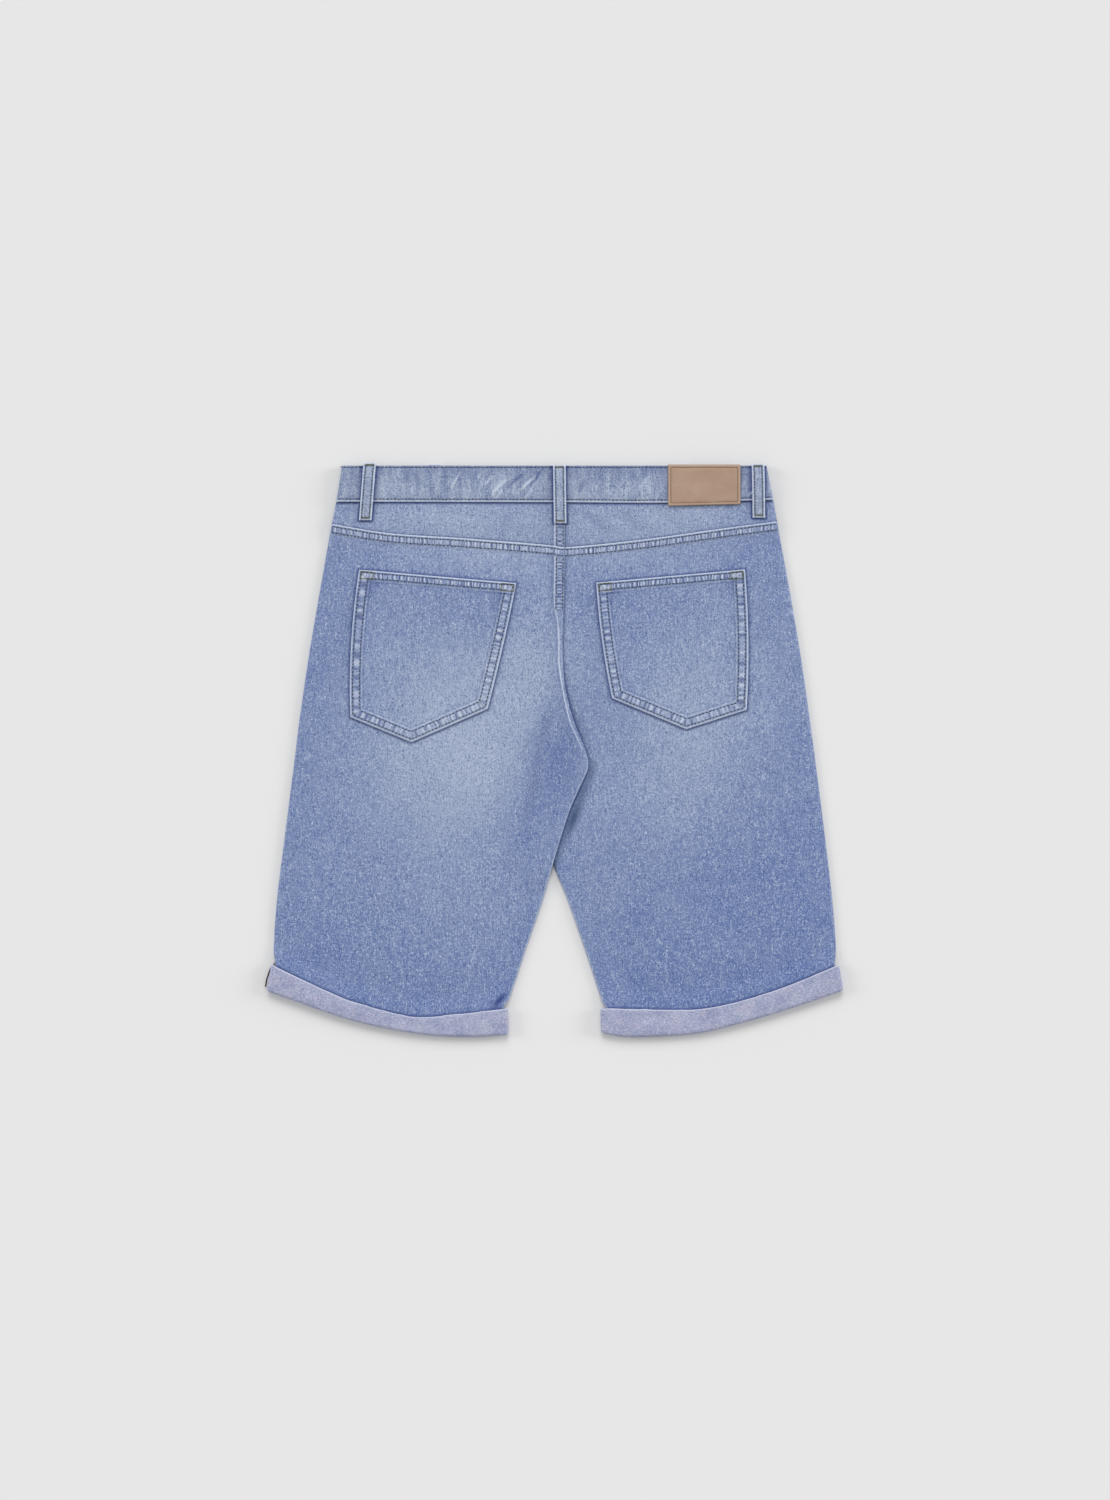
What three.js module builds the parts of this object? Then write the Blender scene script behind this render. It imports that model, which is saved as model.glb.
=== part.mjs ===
// Denim shorts with turned-up hems, laid flat on a surface with the back upwards.
// Millimetres. Seen from above, +X is to the right, +Y towards the waist and +Z up.
// The origin is on the surface, under the middle of the garment.
// The front panels lie on the surface, the back panels lie on them, and the left leg laps over the
// right one at the crotch. Each panel is a wall of cloth between an outer and an inner grid of points.
import * as THREE from "three";

const { lerp, clamp, smoothstep, degToRad } = THREE.MathUtils;

// Thicknesses
const CLOTH = 1.2; // one layer of denim
const BAND_WALL = 2.4; // the waistband, folded denim
const CUFF_WALL = 2.6; // the turned-up hem, two layers
const LOOP_WALL = 2; // a belt loop, a strip folded in three
const PATCH_WALL = 1.4; // the leather patch
const HEM_EXTRA = 0.8; // what a folded and double-stitched edge adds

// Clearances
const SEAM_GAP = 0.3; // between pieces at a seam

// Heights of the layers
const WAIST_LIFT = 2.4; // the front at the waist, held up by the front belt loops and the button
const CUFF_LIFT = CUFF_WALL + SEAM_GAP; // the front where it passes inside the cuff
const FOLD_RISE = 2.2; // a back panel's outer face above the front panel, at a side fold
const PUFF = 2.6; // how much more it stands up in the middle of a panel
const PUFF_REACH = 70; // from a side fold to full height
const BAND_TOP = 8; // the waistband's outer face at the back
const CUFF_HEIGHT = 9.2; // the whole turned-up hem

// Seams
const LAP = 8; // how far the right half runs under the left one at the seat seam
const LAP_RISE = CLOTH + SEAM_GAP;
const FLAT_BESIDE = 24; // how far the right leg stays flat beside the left one that lies on it
const STITCHED_BAND = 10; // width of a double-stitched seam or hem
const FOLD_REACH = 3; // how far a side fold curls in, seen from above
const CURL = [0, 35, 65, 90]; // degrees round a side fold

// The crotch, where the left leg lies on the right one
const CROTCH_Y = -8;
const LENS_END_Y = -115;
const RIGHT_LEG_TOP = CLOTH + FOLD_RISE; // both walls of the right leg, pressed flat
const OVER_LIFT = RIGHT_LEG_TOP + SEAM_GAP; // the left front panel, over the right leg

// The outer side of each leg, from the waist down.
const SIDE_ROWS = [
  { y: 284, left: -212.5, right: 211 },
  { y: 248, left: -218.5, right: 218 },
  { y: 210, left: -225.8, right: 225 },
  { y: 150, left: -236.4, right: 236 },
  { y: 90, left: -246.5, right: 246 },
  { y: 30, left: -255.2, right: 254.5 },
  { y: -30, left: -262.7, right: 262.5 },
  { y: -90, left: -270.4, right: 270 },
  { y: -150, left: -277.7, right: 277 },
  { y: -200, left: -280.9, right: 280.5 },
  { y: -216, left: -279, right: 279 },
  { y: -240, left: -283.8, right: 283.3 },
];

// The seat seam and, below the crotch, the inner edge of the left leg.
const LEFT_INNER_ROWS = [
  { y: 248, x: 10 },
  { y: 150, x: 9 },
  { y: 110, x: 7.5 },
  { y: 65, x: 9.8 },
  { y: 28, x: 19.2 },
  { y: 4, x: 28.8 },
  { y: -8, x: 32.6 },
  { y: -18, x: 33 },
  { y: -30, x: 28.2 },
  { y: -60, x: 14.9 },
  { y: -100, x: 2 },
  { y: -150, x: -12.4 },
  { y: -200, x: -29.7 },
  { y: -240, x: -42.8 },
  { y: -250, x: -46.8 },
  { y: -258, x: -52 },
  { y: -286, x: -52 },
];

// The inner edge of the right half: under the seat seam, hidden under the left leg as far as
// y -115, and then the inner edge of the right leg. The front column is the centre front seam.
const RIGHT_INNER_ROWS = [
  { y: 248, back: 2, front: 3 },
  { y: 150, back: 1, front: 3 },
  { y: 110, back: -0.5, front: 3 },
  { y: 65, back: 2.5, front: 5 },
  { y: 28, back: 10, front: 10 },
  { y: 4, back: 18.5, front: 16 },
  { y: -8, back: 18, front: 17.5 },
  { y: -14, back: 13, front: 13 },
  { y: -25, back: 2, front: 2 },
  { y: -45, back: -5, front: -5 },
  { y: -70, back: -8, front: -8 },
  { y: -100, back: -5, front: -5 },
  { y: -115, back: -1.5, front: -1.5 },
  { y: -150, back: 12.6, front: 12.6 },
  { y: -210, back: 33.6, front: 33.6 },
  { y: -250, back: 46.8, front: 46.8 },
  { y: -258, back: 51, front: 51 },
  { y: -286, back: 51, front: 51 },
];

// The edge of the back panels along the yoke, and the lower edge of the waistband.
const YOKE_ROWS = [
  { x: -222, y: 225 },
  { x: -166, y: 216 },
  { x: -93, y: 211 },
  { x: -5, y: 204 },
  { x: 10, y: 202 },
  { x: 87, y: 209.5 },
  { x: 163, y: 220 },
  { x: 220, y: 227.5 },
];
const BAND_ROWS = [
  { x: -219, y: 247.5 },
  { x: 0, y: 247 },
  { x: 110, y: 246.5 },
  { x: 219, y: 249.5 },
];
const BAND_TOP_Y = 283.7;

// The two edges of each turned-up hem.
const CUFF_ROWS = {
  left: [
    { x: -288, top: -211.5, bottom: -240.5 },
    { x: -244, top: -232.8, bottom: -256.2 },
    { x: -210, top: -248, bottom: -267.8 },
    { x: -181, top: -257.2, bottom: -275.2 },
    { x: -139, top: -266.3, bottom: -282.8 },
    { x: -97, top: -263.5, bottom: -286.2 },
    { x: -46, top: -257.5, bottom: -284.5 },
  ],
  right: [
    { x: 45, top: -258, bottom: -282 },
    { x: 70, top: -258.2, bottom: -286.2 },
    { x: 138, top: -259, bottom: -283.3 },
    { x: 181, top: -251.5, bottom: -274 },
    { x: 233, top: -235, bottom: -258.7 },
    { x: 288, top: -212, bottom: -240 },
  ],
};
// The ends of each cuff: outer side and inner side, at its upper and at its lower edge.
const CUFF_ENDS = {
  left: { outer: { top: -283.2, bottom: -288 }, inner: { top: -47.2, bottom: -46.5 } },
  right: { outer: { top: 283.2, bottom: 288 }, inner: { top: 45.3, bottom: 45.8 } },
};

// Soft folds, each from one point to another: a ridge where the height is positive, a trough where
// it is negative. The width is from the middle of a fold to its foot.
const FOLDS = {
  left: [
    { from: [-3.5, 52], to: [-19, -4], height: -0.8, width: 9 },
    { from: [-14, 12], to: [-33, -92], height: -0.9, width: 10 },
    { from: [11, 8], to: [-5, -74], height: 0.6, width: 8 },
    { from: [-26, 12], to: [-42, -82], height: 0.5, width: 9 },
    { from: [-45, 238], to: [-53, 216], height: -0.5, width: 9 },
  ],
  right: [
    { from: [24, 242], to: [56, 213], height: -0.7, width: 8 },
    { from: [40, 243], to: [70, 215], height: 0.4, width: 8 },
    { from: [57, 243], to: [89, 216], height: -0.6, width: 8 },
    { from: [75, 243], to: [108, 217], height: 0.4, width: 9 },
    { from: [98, 243], to: [131, 219], height: -0.45, width: 9 },
  ],
};

// Puckers along the waistband: the place, height and half width of each.
const PUCKERS = [
  { x: -204, height: 0.5, width: 6 },
  { x: -172, height: 0.7, width: 4.5 },
  { x: -162, height: 0.5, width: 4 },
  { x: -153, height: 0.8, width: 4.5 },
  { x: -142, height: 0.7, width: 5 },
  { x: -130.5, height: 0.6, width: 5.5 },
  { x: -116, height: 0.9, width: 6.5 },
  { x: -102, height: 0.8, width: 6 },
  { x: -89, height: 0.6, width: 6 },
  { x: -75.5, height: 0.8, width: 6.5 },
  { x: -58, height: 0.7, width: 8 },
  { x: -41, height: 0.9, width: 6.5 },
  { x: -28, height: 0.5, width: 5.5 },
  { x: 20, height: 0.6, width: 4 },
  { x: 28.5, height: 0.5, width: 4 },
  { x: 39, height: 0.8, width: 5.5 },
  { x: 55, height: 0.6, width: 7.5 },
  { x: 71, height: 0.9, width: 6.5 },
  { x: 83, height: 0.5, width: 5 },
  { x: 93, height: 0.8, width: 5 },
  { x: 103, height: 0.5, width: 4.5 },
];
const PUCKER_ROWS = [
  { share: 0, part: 0 },
  { share: 0.1, part: 0.6 },
  { share: 0.36, part: 1 },
  { share: 0.75, part: 0.4 },
  { share: 1, part: 0 },
];

// Corners of the back pockets, from above, and how far their sides bow out between them.
const POCKETS = {
  left: {
    topOuter: [-195.5, 180],
    topInner: [-38.5, 166.5],
    bottomOuter: [-204.2, 32.7],
    bottomInner: [-67.2, 40.8],
    tip: [-143.3, 7.6],
    bow: { outer: 3.6, inner: 1 },
  },
  right: {
    topOuter: [189.5, 180.2],
    topInner: [41, 167],
    bottomOuter: [191.2, 39.9],
    bottomInner: [57, 51.4],
    tip: [131, 20.6],
    bow: { outer: 2.6, inner: 2.2 },
  },
};

// Belt loops: the middle and the height of the upper and of the lower end. The front ones lie
// under the waistband.
const LOOP_WIDTH = 12.6;
const LOOPS = [
  { name: "belt_loop_back_left", upper: -184.7, lower: -189.3, low: 229, high: 286.2 },
  { name: "belt_loop_back_centre", upper: 4.3, lower: 5.2, low: 226, high: 284 },
  { name: "belt_loop_back_right", upper: 202.4, lower: 203.4, low: 231.5, high: 285 },
];
const FRONT_LOOPS = [
  { name: "belt_loop_front_left", x: -120 },
  { name: "belt_loop_front_right", x: 126 },
];
const FRONT_LOOP_ENDS = { low: 229, high: 284.8 };

const PATCH = { left: 112.7, right: 185, top: 284.6, bottomLeft: 243.3, bottomRight: 245 };
const ZIP = { left: -11, right: 17, top: 238, bottom: 92, thickness: 0.9 };
const BUTTON = { x: -9, y: 266, radius: 8.5, height: WAIST_LIFT - SEAM_GAP };

// Colours read from the photograph
const denim = () => new THREE.MeshStandardMaterial({ color: 0x8598c6, roughness: 0.92 });
const denimInside = () => new THREE.MeshStandardMaterial({ color: 0xa4abcb, roughness: 0.94 });
const leather = () => new THREE.MeshStandardMaterial({ color: 0xc3a083, roughness: 0.6 });
const tape = () => new THREE.MeshStandardMaterial({ color: 0x6f7f9f, roughness: 0.85 });
const metal = () => new THREE.MeshStandardMaterial({ color: 0x8c8577, roughness: 0.35, metalness: 0.9 });

// 0 before a, 1 after b and straight in between; b may be less than a.
const ramp = (value, a, b) => clamp((value - a) / (b - a), 0, 1);
// Rises quickly from 0 at an edge and levels out at 1.
const swell = (distance, reach) => 1 - (1 - clamp(distance / reach, 0, 1)) ** 2;

// A smooth curve through one column of a table, as a function of another column; level past its ends.
function track(table, along, column) {
  const rows = [...table].sort((a, b) => a[along] - b[along]);
  const at = rows.map((row) => row[along]);
  const value = rows.map((row) => row[column]);
  const last = rows.length - 1;
  const slope = value.map((_, i) => {
    const before = Math.max(i - 1, 0);
    const after = Math.min(i + 1, last);
    return (value[after] - value[before]) / (at[after] - at[before]);
  });
  return (place) => {
    const p = clamp(place, at[0], at[last]);
    let i = 0;
    while (i < last - 1 && p > at[i + 1]) i++;
    const span = at[i + 1] - at[i];
    const t = (p - at[i]) / span;
    const rise = value[i + 1] - value[i];
    return (
      value[i] +
      t * t * (3 - 2 * t) * rise +
      t * (1 - t) * span * ((1 - t) * slope[i] - t * slope[i + 1])
    );
  };
}

const leftInner = track(LEFT_INNER_ROWS, "y", "x");
const rightInner = track(RIGHT_INNER_ROWS, "y", "back");
const centreFront = track(RIGHT_INNER_ROWS, "y", "front");
const yokeSeam = track(YOKE_ROWS, "x", "y");
const bandSeam = track(BAND_ROWS, "x", "y");
const HALVES = ["left", "right"];
const outerSide = {};
const cuffTop = {};
const cuffBottom = {};
for (const half of HALVES) {
  outerSide[half] = track(SIDE_ROWS, "y", half);
  cuffTop[half] = track(CUFF_ROWS[half], "x", "top");
  cuffBottom[half] = track(CUFF_ROWS[half], "x", "bottom");
}
const inward = { left: 1, right: -1 }; // the direction from a side fold to the middle

// How far the underside of a front panel stands above the surface, apart from the crotch.
function frontLift(half, x, y) {
  const waist = WAIST_LIFT * (1 - ramp(bandSeam(x) - y, 22, 45));
  const cuff = CUFF_LIFT * (1 - ramp(y - cuffTop[half](x), 2, 18));
  return waist + cuff;
}

// The left front panel also climbs over the right leg.
function climb(x, y) {
  const edge = rightInner(y);
  return OVER_LIFT * ramp(x, edge - 9, edge - 2) * ramp(y, 14, CROTCH_Y + 2);
}

// What the soft folds add to a back panel or yoke.
function foldHeight(half, x, y) {
  const point = new THREE.Vector2(x, y);
  return FOLDS[half].reduce((sum, { from, to, height, width }) => {
    const start = new THREE.Vector2(...from);
    const run = new THREE.Vector2(...to).sub(start);
    const along = point.clone().sub(start).dot(run) / run.lengthSq();
    const aside = Math.abs(point.clone().sub(start).cross(run)) / run.length();
    if (along <= 0 || along >= 1 || aside >= width) return sum;
    return sum + height * Math.sin(Math.PI * along) * Math.cos((Math.PI / 2) * (aside / width)) ** 2;
  }, 0);
}

// The outer face of a back panel or yoke, apart from its folds.
function backTop(half, x, y) {
  const front = CLOTH + frontLift(half, x, y);
  const side = swell(Math.abs(x - outerSide[half](y)), PUFF_REACH);
  const nearCuff = 1 - ramp(y - cuffTop[half](x), 2, 45);
  const nearWaist = 0.65 * (1 - ramp(bandSeam(x) - y, 22, 80));
  const puff = PUFF * (1 - nearCuff) * (1 - nearWaist);
  if (half === "right") {
    const seen = Math.max(leftInner(y), rightInner(y));
    const inner = lerp(1, swell(x - seen - FLAT_BESIDE, PUFF_REACH), ramp(y, 95, 20));
    return front + FOLD_RISE + puff * side * inner;
  }
  const inner = lerp(1, swell(leftInner(y) - x, PUFF_REACH), ramp(y, LENS_END_Y + 10, LENS_END_Y - 30));
  const open = front + FOLD_RISE + puff * side * inner;
  const aside = Math.max(0, rightInner(y) - x) / 64;
  const away = Math.hypot(aside, ramp(y, CROTCH_Y, 60), ramp(y, LENS_END_Y, -155));
  const overRight = CLOTH + OVER_LIFT + FOLD_RISE;
  return lerp(overRight, open, smoothstep(away, 0, 1));
}

// A lapped seat seam: the left half rises over the edge of the right one.
function seatLap(x, y) {
  const lapped = 1 - ramp(leftInner(y) - x, LAP + 1, LAP + 5);
  return LAP_RISE * lapped * (1 - seatCurl(y));
}
// How far the left half's inner edge curls down: 0 along the seat seam and 1 below the crotch.
const seatCurl = (y) => ramp(y, 22, CROTCH_Y);
// The same for the right half, which curls where its leg begins.
const rightCurl = (y) => ramp(y, 0, -25);

// Where a wall's edge rests: the top of what lies under it, plus the clearance.
function edgeRest(half, x, y) {
  const under = CLOTH + frontLift(half, x, y);
  if (half === "right" || x < 0) {
    const lift = half === "left" && Math.abs(x - leftInner(y)) < 1 ? climb(x, y) : 0;
    return under + lift + SEAM_GAP;
  }
  return CLOTH + OVER_LIFT + SEAM_GAP;
}

// Points across a back panel on one row. A row gives y as a function of x.
function backColumn(half, column, row) {
  const s = inward[half];
  const edges = { outer: outerSide[half], inner: half === "left" ? leftInner : rightInner };
  const curlAt = { outer: () => 1, inner: half === "left" ? seatCurl : rightCurl };
  const place = (distance) => {
    let x = 0;
    let y = 0;
    for (let i = 0; i < 8; i++) {
      y = row.y(x);
      if (column.at === "between") {
        const from = edges.outer(y) + s * 16;
        const to = edges.inner(y) - s * (INNER_INSETS[0] + 10);
        x = lerp(from, to, column.share);
      } else {
        x = edges[column.at](y) + (column.at === "outer" ? s : -s) * distance;
      }
    }
    return { x, y };
  };
  const raise = (p) => (half === "left" ? seatLap(p.x, p.y) : 0);
  const underLap = half === "right" && column.at === "inner" && !(column.inset > LAP + 1);
  const extra = underLap ? 0 : (row.extra ?? 0);
  if (column.curl === undefined) {
    const p = place(column.inset);
    const fold = underLap ? 0 : foldHeight(half, p.x, p.y);
    const top = backTop(half, p.x, p.y) + raise(p) + fold;
    return {
      outer: new THREE.Vector3(p.x, p.y, top + extra),
      inner: new THREE.Vector3(p.x, p.y, top - CLOTH),
    };
  }
  const angle = degToRad(column.curl);
  const out = FOLD_REACH * (1 - Math.cos(angle));
  const p = place(out);
  const curled = curlAt[column.at](p.y);
  const q = place(curled * CLOTH + (FOLD_REACH - curled * CLOTH) * (1 - Math.cos(angle)));
  const full = place(FOLD_REACH);
  const edge = place(0);
  const top = backTop(half, full.x, full.y) + raise(full);
  const rest = edgeRest(half, edge.x, edge.y);
  const drop = curled * (1 - Math.sin(angle));
  return {
    outer: new THREE.Vector3(p.x, p.y, top + extra - drop * (top + extra - rest)),
    inner: new THREE.Vector3(q.x, q.y, top - CLOTH - drop * (top - CLOTH - rest)),
  };
}

const INNER_INSETS = [44, 36, 28, 20, LAP + 5, LAP + 1];
const curlColumns = (at) => CURL.map((curl) => ({ at, curl }));
const backColumns = (count) => [
  ...curlColumns("outer"),
  ...Array.from({ length: count + 1 }, (_, i) => ({ at: "between", share: i / count })),
  ...INNER_INSETS.map((inset) => ({ at: "inner", inset })),
  ...curlColumns("inner").reverse(),
];

// Rows up a leg and the seat, as curves of y over x. They follow the hem at the bottom.
const LENS_ROWS = [-115, -100, -85, -70, -58, -45, -34, -25, -14]; // where the left leg laps over
const SEAT_ROWS = [CROTCH_Y, 4, 14, 28, 45, 65, 85, 110, 150];
const LEVEL_ROWS = [-125, ...LENS_ROWS, -18, ...SEAT_ROWS].sort((a, b) => a - b);
const HEM_ROWS = [0.35, 0.7];
const LEG_END = 2.4; // the cloth of a leg ends this far inside the fold of its cuff
const LEG_END_GAP = 0.6;
function legRows(half) {
  const rise = cuffTop[half];
  const lowest = LEVEL_ROWS[0];
  return [
    { y: (x) => cuffBottom[half](x) + LEG_END },
    { y: (x) => rise(x) + 2 },
    { y: (x) => rise(x) + 18 },
    ...HEM_ROWS.map((share) => ({ y: (x) => lerp(rise(x) + 18, lowest, share) })),
    ...LEVEL_ROWS.map((level) => ({ y: () => level })),
  ];
}

function backRows(half) {
  return [
    ...legRows(half),
    { y: (x) => yokeSeam(x) - 22 },
    { y: (x) => yokeSeam(x) - STITCHED_BAND - 0.8 },
    { y: (x) => yokeSeam(x) - STITCHED_BAND, extra: HEM_EXTRA },
    { y: yokeSeam, extra: HEM_EXTRA },
  ];
}

const yokeRows = () => [
  { y: (x) => yokeSeam(x) + SEAM_GAP },
  ...[0.25, 0.5, 0.75].map((share) => ({ y: (x) => lerp(yokeSeam(x), bandSeam(x), share) })),
  { y: (x) => bandSeam(x) - SEAM_GAP },
];

// A closed solid between an outer and an inner grid of points, its faces turned outwards.
function wall(name, material, outer, inner) {
  const rows = outer.length;
  const columns = outer[0].length;
  const at = (side, row, column) => (side * rows + row) * columns + column;
  const index = [];
  const quad = (a, b, c, d) => index.push(a, b, c, a, c, d);
  for (let r = 0; r < rows - 1; r++) {
    for (let c = 0; c < columns - 1; c++) {
      quad(at(0, r, c), at(0, r, c + 1), at(0, r + 1, c + 1), at(0, r + 1, c));
      quad(at(1, r, c), at(1, r + 1, c), at(1, r + 1, c + 1), at(1, r, c + 1));
    }
    quad(at(0, r, 0), at(0, r + 1, 0), at(1, r + 1, 0), at(1, r, 0));
    const end = columns - 1;
    quad(at(0, r, end), at(1, r, end), at(1, r + 1, end), at(0, r + 1, end));
  }
  for (let c = 0; c < columns - 1; c++) {
    const end = rows - 1;
    quad(at(0, 0, c), at(1, 0, c), at(1, 0, c + 1), at(0, 0, c + 1));
    quad(at(0, end, c), at(0, end, c + 1), at(1, end, c + 1), at(1, end, c));
  }
  const points = [...outer.flat(), ...inner.flat()];
  const volume = index.reduce((sum, _, i) => {
    if (i % 3) return sum;
    const [a, b, c] = [0, 1, 2].map((k) => points[index[i + k]]);
    return sum + a.dot(b.clone().cross(c));
  }, 0);
  if (volume < 0) index.reverse();
  const geometry = new THREE.BufferGeometry().setFromPoints(points);
  geometry.setIndex(index);
  geometry.computeVertexNormals();
  const mesh = new THREE.Mesh(geometry, material);
  mesh.name = name;
  return mesh;
}

// A wall from a function that gives the outer and inner point of each row and column.
function wallOf(name, material, rows, columns, pointsAt) {
  const grid = rows.map((row) => columns.map((column) => pointsAt(column, row)));
  return wall(
    name,
    material,
    grid.map((line) => line.map((p) => p.outer)),
    grid.map((line) => line.map((p) => p.inner)),
  );
}

function backPanel(half) {
  const pointsAt = (column, row) => backColumn(half, column, row);
  return wallOf(`back_${half}`, denim(), backRows(half), backColumns(7), pointsAt);
}

function yoke(half) {
  const pointsAt = (column, row) => backColumn(half, column, row);
  return wallOf(`yoke_${half}`, denim(), yokeRows(), backColumns(20), pointsAt);
}

// The front panels. The left one has two columns where it starts to climb over the right leg.
const FRONT_LEVELS = [-125, ...LENS_ROWS, -108, ...SEAT_ROWS]
  .filter((level) => level !== 85)
  .sort((a, b) => a - b);
function frontPanel(half) {
  const s = inward[half];
  const inner = (y) => {
    if (half === "right") return centreFront(y);
    return y > CROTCH_Y - 1 ? centreFront(y) - SEAM_GAP : leftInner(y);
  };
  const rows = [
    ...legRows(half).slice(0, 3 + HEM_ROWS.length),
    ...FRONT_LEVELS.map((level) => ({ y: () => level })),
    { y: (x) => bandSeam(x) - 45 },
    { y: (x) => bandSeam(x) - 22 },
    { y: (x) => bandSeam(x) - SEAM_GAP },
  ];
  const shares = [0, 0.2, 0.4, 0.6, 0.8];
  const columns = shares.map((share) => (y) => lerp(outerSide[half](y), inner(y) - s * 20, share));
  if (half === "left") {
    columns.push((y) => Math.min(rightInner(y) - 9, inner(y) - 5));
    columns.push((y) => Math.min(rightInner(y) - 2, inner(y) - 1.5));
  } else {
    columns.push((y) => inner(y) - s * 10);
  }
  columns.push(inner);
  return wallOf(`front_${half}`, denim(), rows, columns, (column, row) => {
    let x = 0;
    let y = 0;
    for (let i = 0; i < 8; i++) {
      y = row.y(x);
      x = column(y);
    }
    const under = frontLift(half, x, y) + (half === "left" ? climb(x, y) : 0);
    return { outer: new THREE.Vector3(x, y, under), inner: new THREE.Vector3(x, y, under + CLOTH) };
  });
}

// The waistband: one strip that starts at the centre front, runs round both sides and comes back.
function waistband() {
  const radius = (BAND_TOP - WAIST_LIFT) / 2;
  const middle = WAIST_LIFT + radius;
  const FRONT_SHARES = [0, 0.33, 0.67, 1];
  const ARC = [-60, -30, 0, 30, 60];
  const PLAIN = [-212, -190, -181, -17, 4, 13, 112, 150, 190, 211];
  const puckered = PUCKERS.flatMap(({ x, width }) => [x - width, x, x + width]);
  const places = [...PLAIN, ...puckered]
    .sort((a, b) => a - b)
    .filter((x, i, all) => i === 0 || x - all[i - 1] > 1.6);
  const front = (half) => FRONT_SHARES.map((share) => ({ run: "front", half, share }));
  const side = (half) => ARC.map((angle) => ({ run: "side", half, angle }));
  const path = [
    ...front("left"),
    ...side("left"),
    ...places.map((x) => ({ run: "back", x })),
    ...side("right").reverse(),
    ...front("right").reverse(),
  ];
  const puckerAt = (x) =>
    PUCKERS.reduce((sum, pucker) => {
      const off = Math.abs(x - pucker.x) / pucker.width;
      return off < 1 ? Math.max(sum, pucker.height * Math.cos((Math.PI / 2) * off)) : sum;
    }, 0);
  return wallOf("waistband", denim(), PUCKER_ROWS, path, (step, row) => {
    const turn = (half, y) => outerSide[half](y) + inward[half] * radius;
    const points = {};
    for (const face of ["outer", "inner"]) {
      const r = face === "outer" ? radius : radius - BAND_WALL;
      let x = 0;
      let y = 0;
      let z = 0;
      for (let i = 0; i < 8; i++) {
        y = lerp(bandSeam(x), BAND_TOP_Y, row.share);
        if (step.run === "front") {
          const start = centreFront(y) - (inward[step.half] * SEAM_GAP) / 2;
          x = lerp(start, turn(step.half, y), step.share);
          z = middle - r;
        } else if (step.run === "side") {
          const angle = degToRad(step.angle);
          x = turn(step.half, y) - inward[step.half] * r * Math.cos(angle);
          z = middle + r * Math.sin(angle);
        } else {
          x = clamp(step.x, turn("left", y), turn("right", y));
          z = middle + r + (face === "outer" ? puckerAt(step.x) * row.part : 0);
        }
      }
      points[face] = new THREE.Vector3(x, y, z);
    }
    return points;
  });
}

const CUFF_STEPS = 14;
// One half of a turned-up hem. Its lower edge hooks round the end of the leg's cloth.
function cuff(half, layer) {
  const up = layer === "back" ? 1 : -1;
  const radius = CUFF_HEIGHT / 2;
  const ends = CUFF_ENDS[half];
  const legFace = CUFF_LIFT + CLOTH; // the inner face of the leg's front wall
  const hook = layer === "back" ? CLOTH + SEAM_GAP : legFace - CUFF_WALL;
  const rows = [
    { share: 0, slim: 1.3, hook },
    { rise: LEG_END - LEG_END_GAP, slim: 0, hook },
    { rise: LEG_END - LEG_END_GAP + 0.05, slim: 0, hook: 0 },
    { share: 0.5, slim: 0, hook: 0 },
    { share: 1, slim: 0.5, hook: 0 },
  ];
  const columns = [
    ...CURL.map((angle) => ({ end: "outer", angle })),
    ...Array.from({ length: CUFF_STEPS }, (_, i) => ({ share: (i + 0.5) / CUFF_STEPS })),
    ...[...CURL].reverse().map((angle) => ({ end: "inner", angle })),
  ];
  return wallOf(`cuff_${half}_${layer}`, denimInside(), rows, columns, (column, row) => {
    const locate = (reach) => {
      let x = 0;
      let y = 0;
      for (let i = 0; i < 8; i++) {
        const [low, high] = [cuffBottom[half](x), cuffTop[half](x)];
        y = row.rise === undefined ? lerp(low, high, row.share) : low + row.rise;
        const share = (y - low) / (high - low);
        const outer = lerp(ends.outer.bottom, ends.outer.top, share);
        const inner = lerp(ends.inner.bottom, ends.inner.top, share);
        const s = inward[half];
        if (column.end === "outer") x = outer + s * reach;
        else if (column.end === "inner") x = inner - s * reach;
        else x = lerp(outer + s * radius, inner - s * radius, column.share);
      }
      return { x, y };
    };
    const angle = degToRad(column.angle ?? 90);
    const start = radius + up * (SEAM_GAP / 2);
    const outerReach = radius * (1 - Math.cos(angle));
    const innerReach = CUFF_WALL + (radius - CUFF_WALL) * (1 - Math.cos(angle));
    const p = locate(outerReach);
    const q = locate(innerReach);
    const outerZ = (radius - SEAM_GAP / 2 - row.slim) * Math.sin(angle);
    const innerZ = (radius - SEAM_GAP / 2 - CUFF_WALL - row.hook) * Math.sin(angle);
    return {
      outer: new THREE.Vector3(p.x, p.y, start + up * outerZ),
      inner: new THREE.Vector3(q.x, q.y, start + up * innerZ),
    };
  });
}

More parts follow.
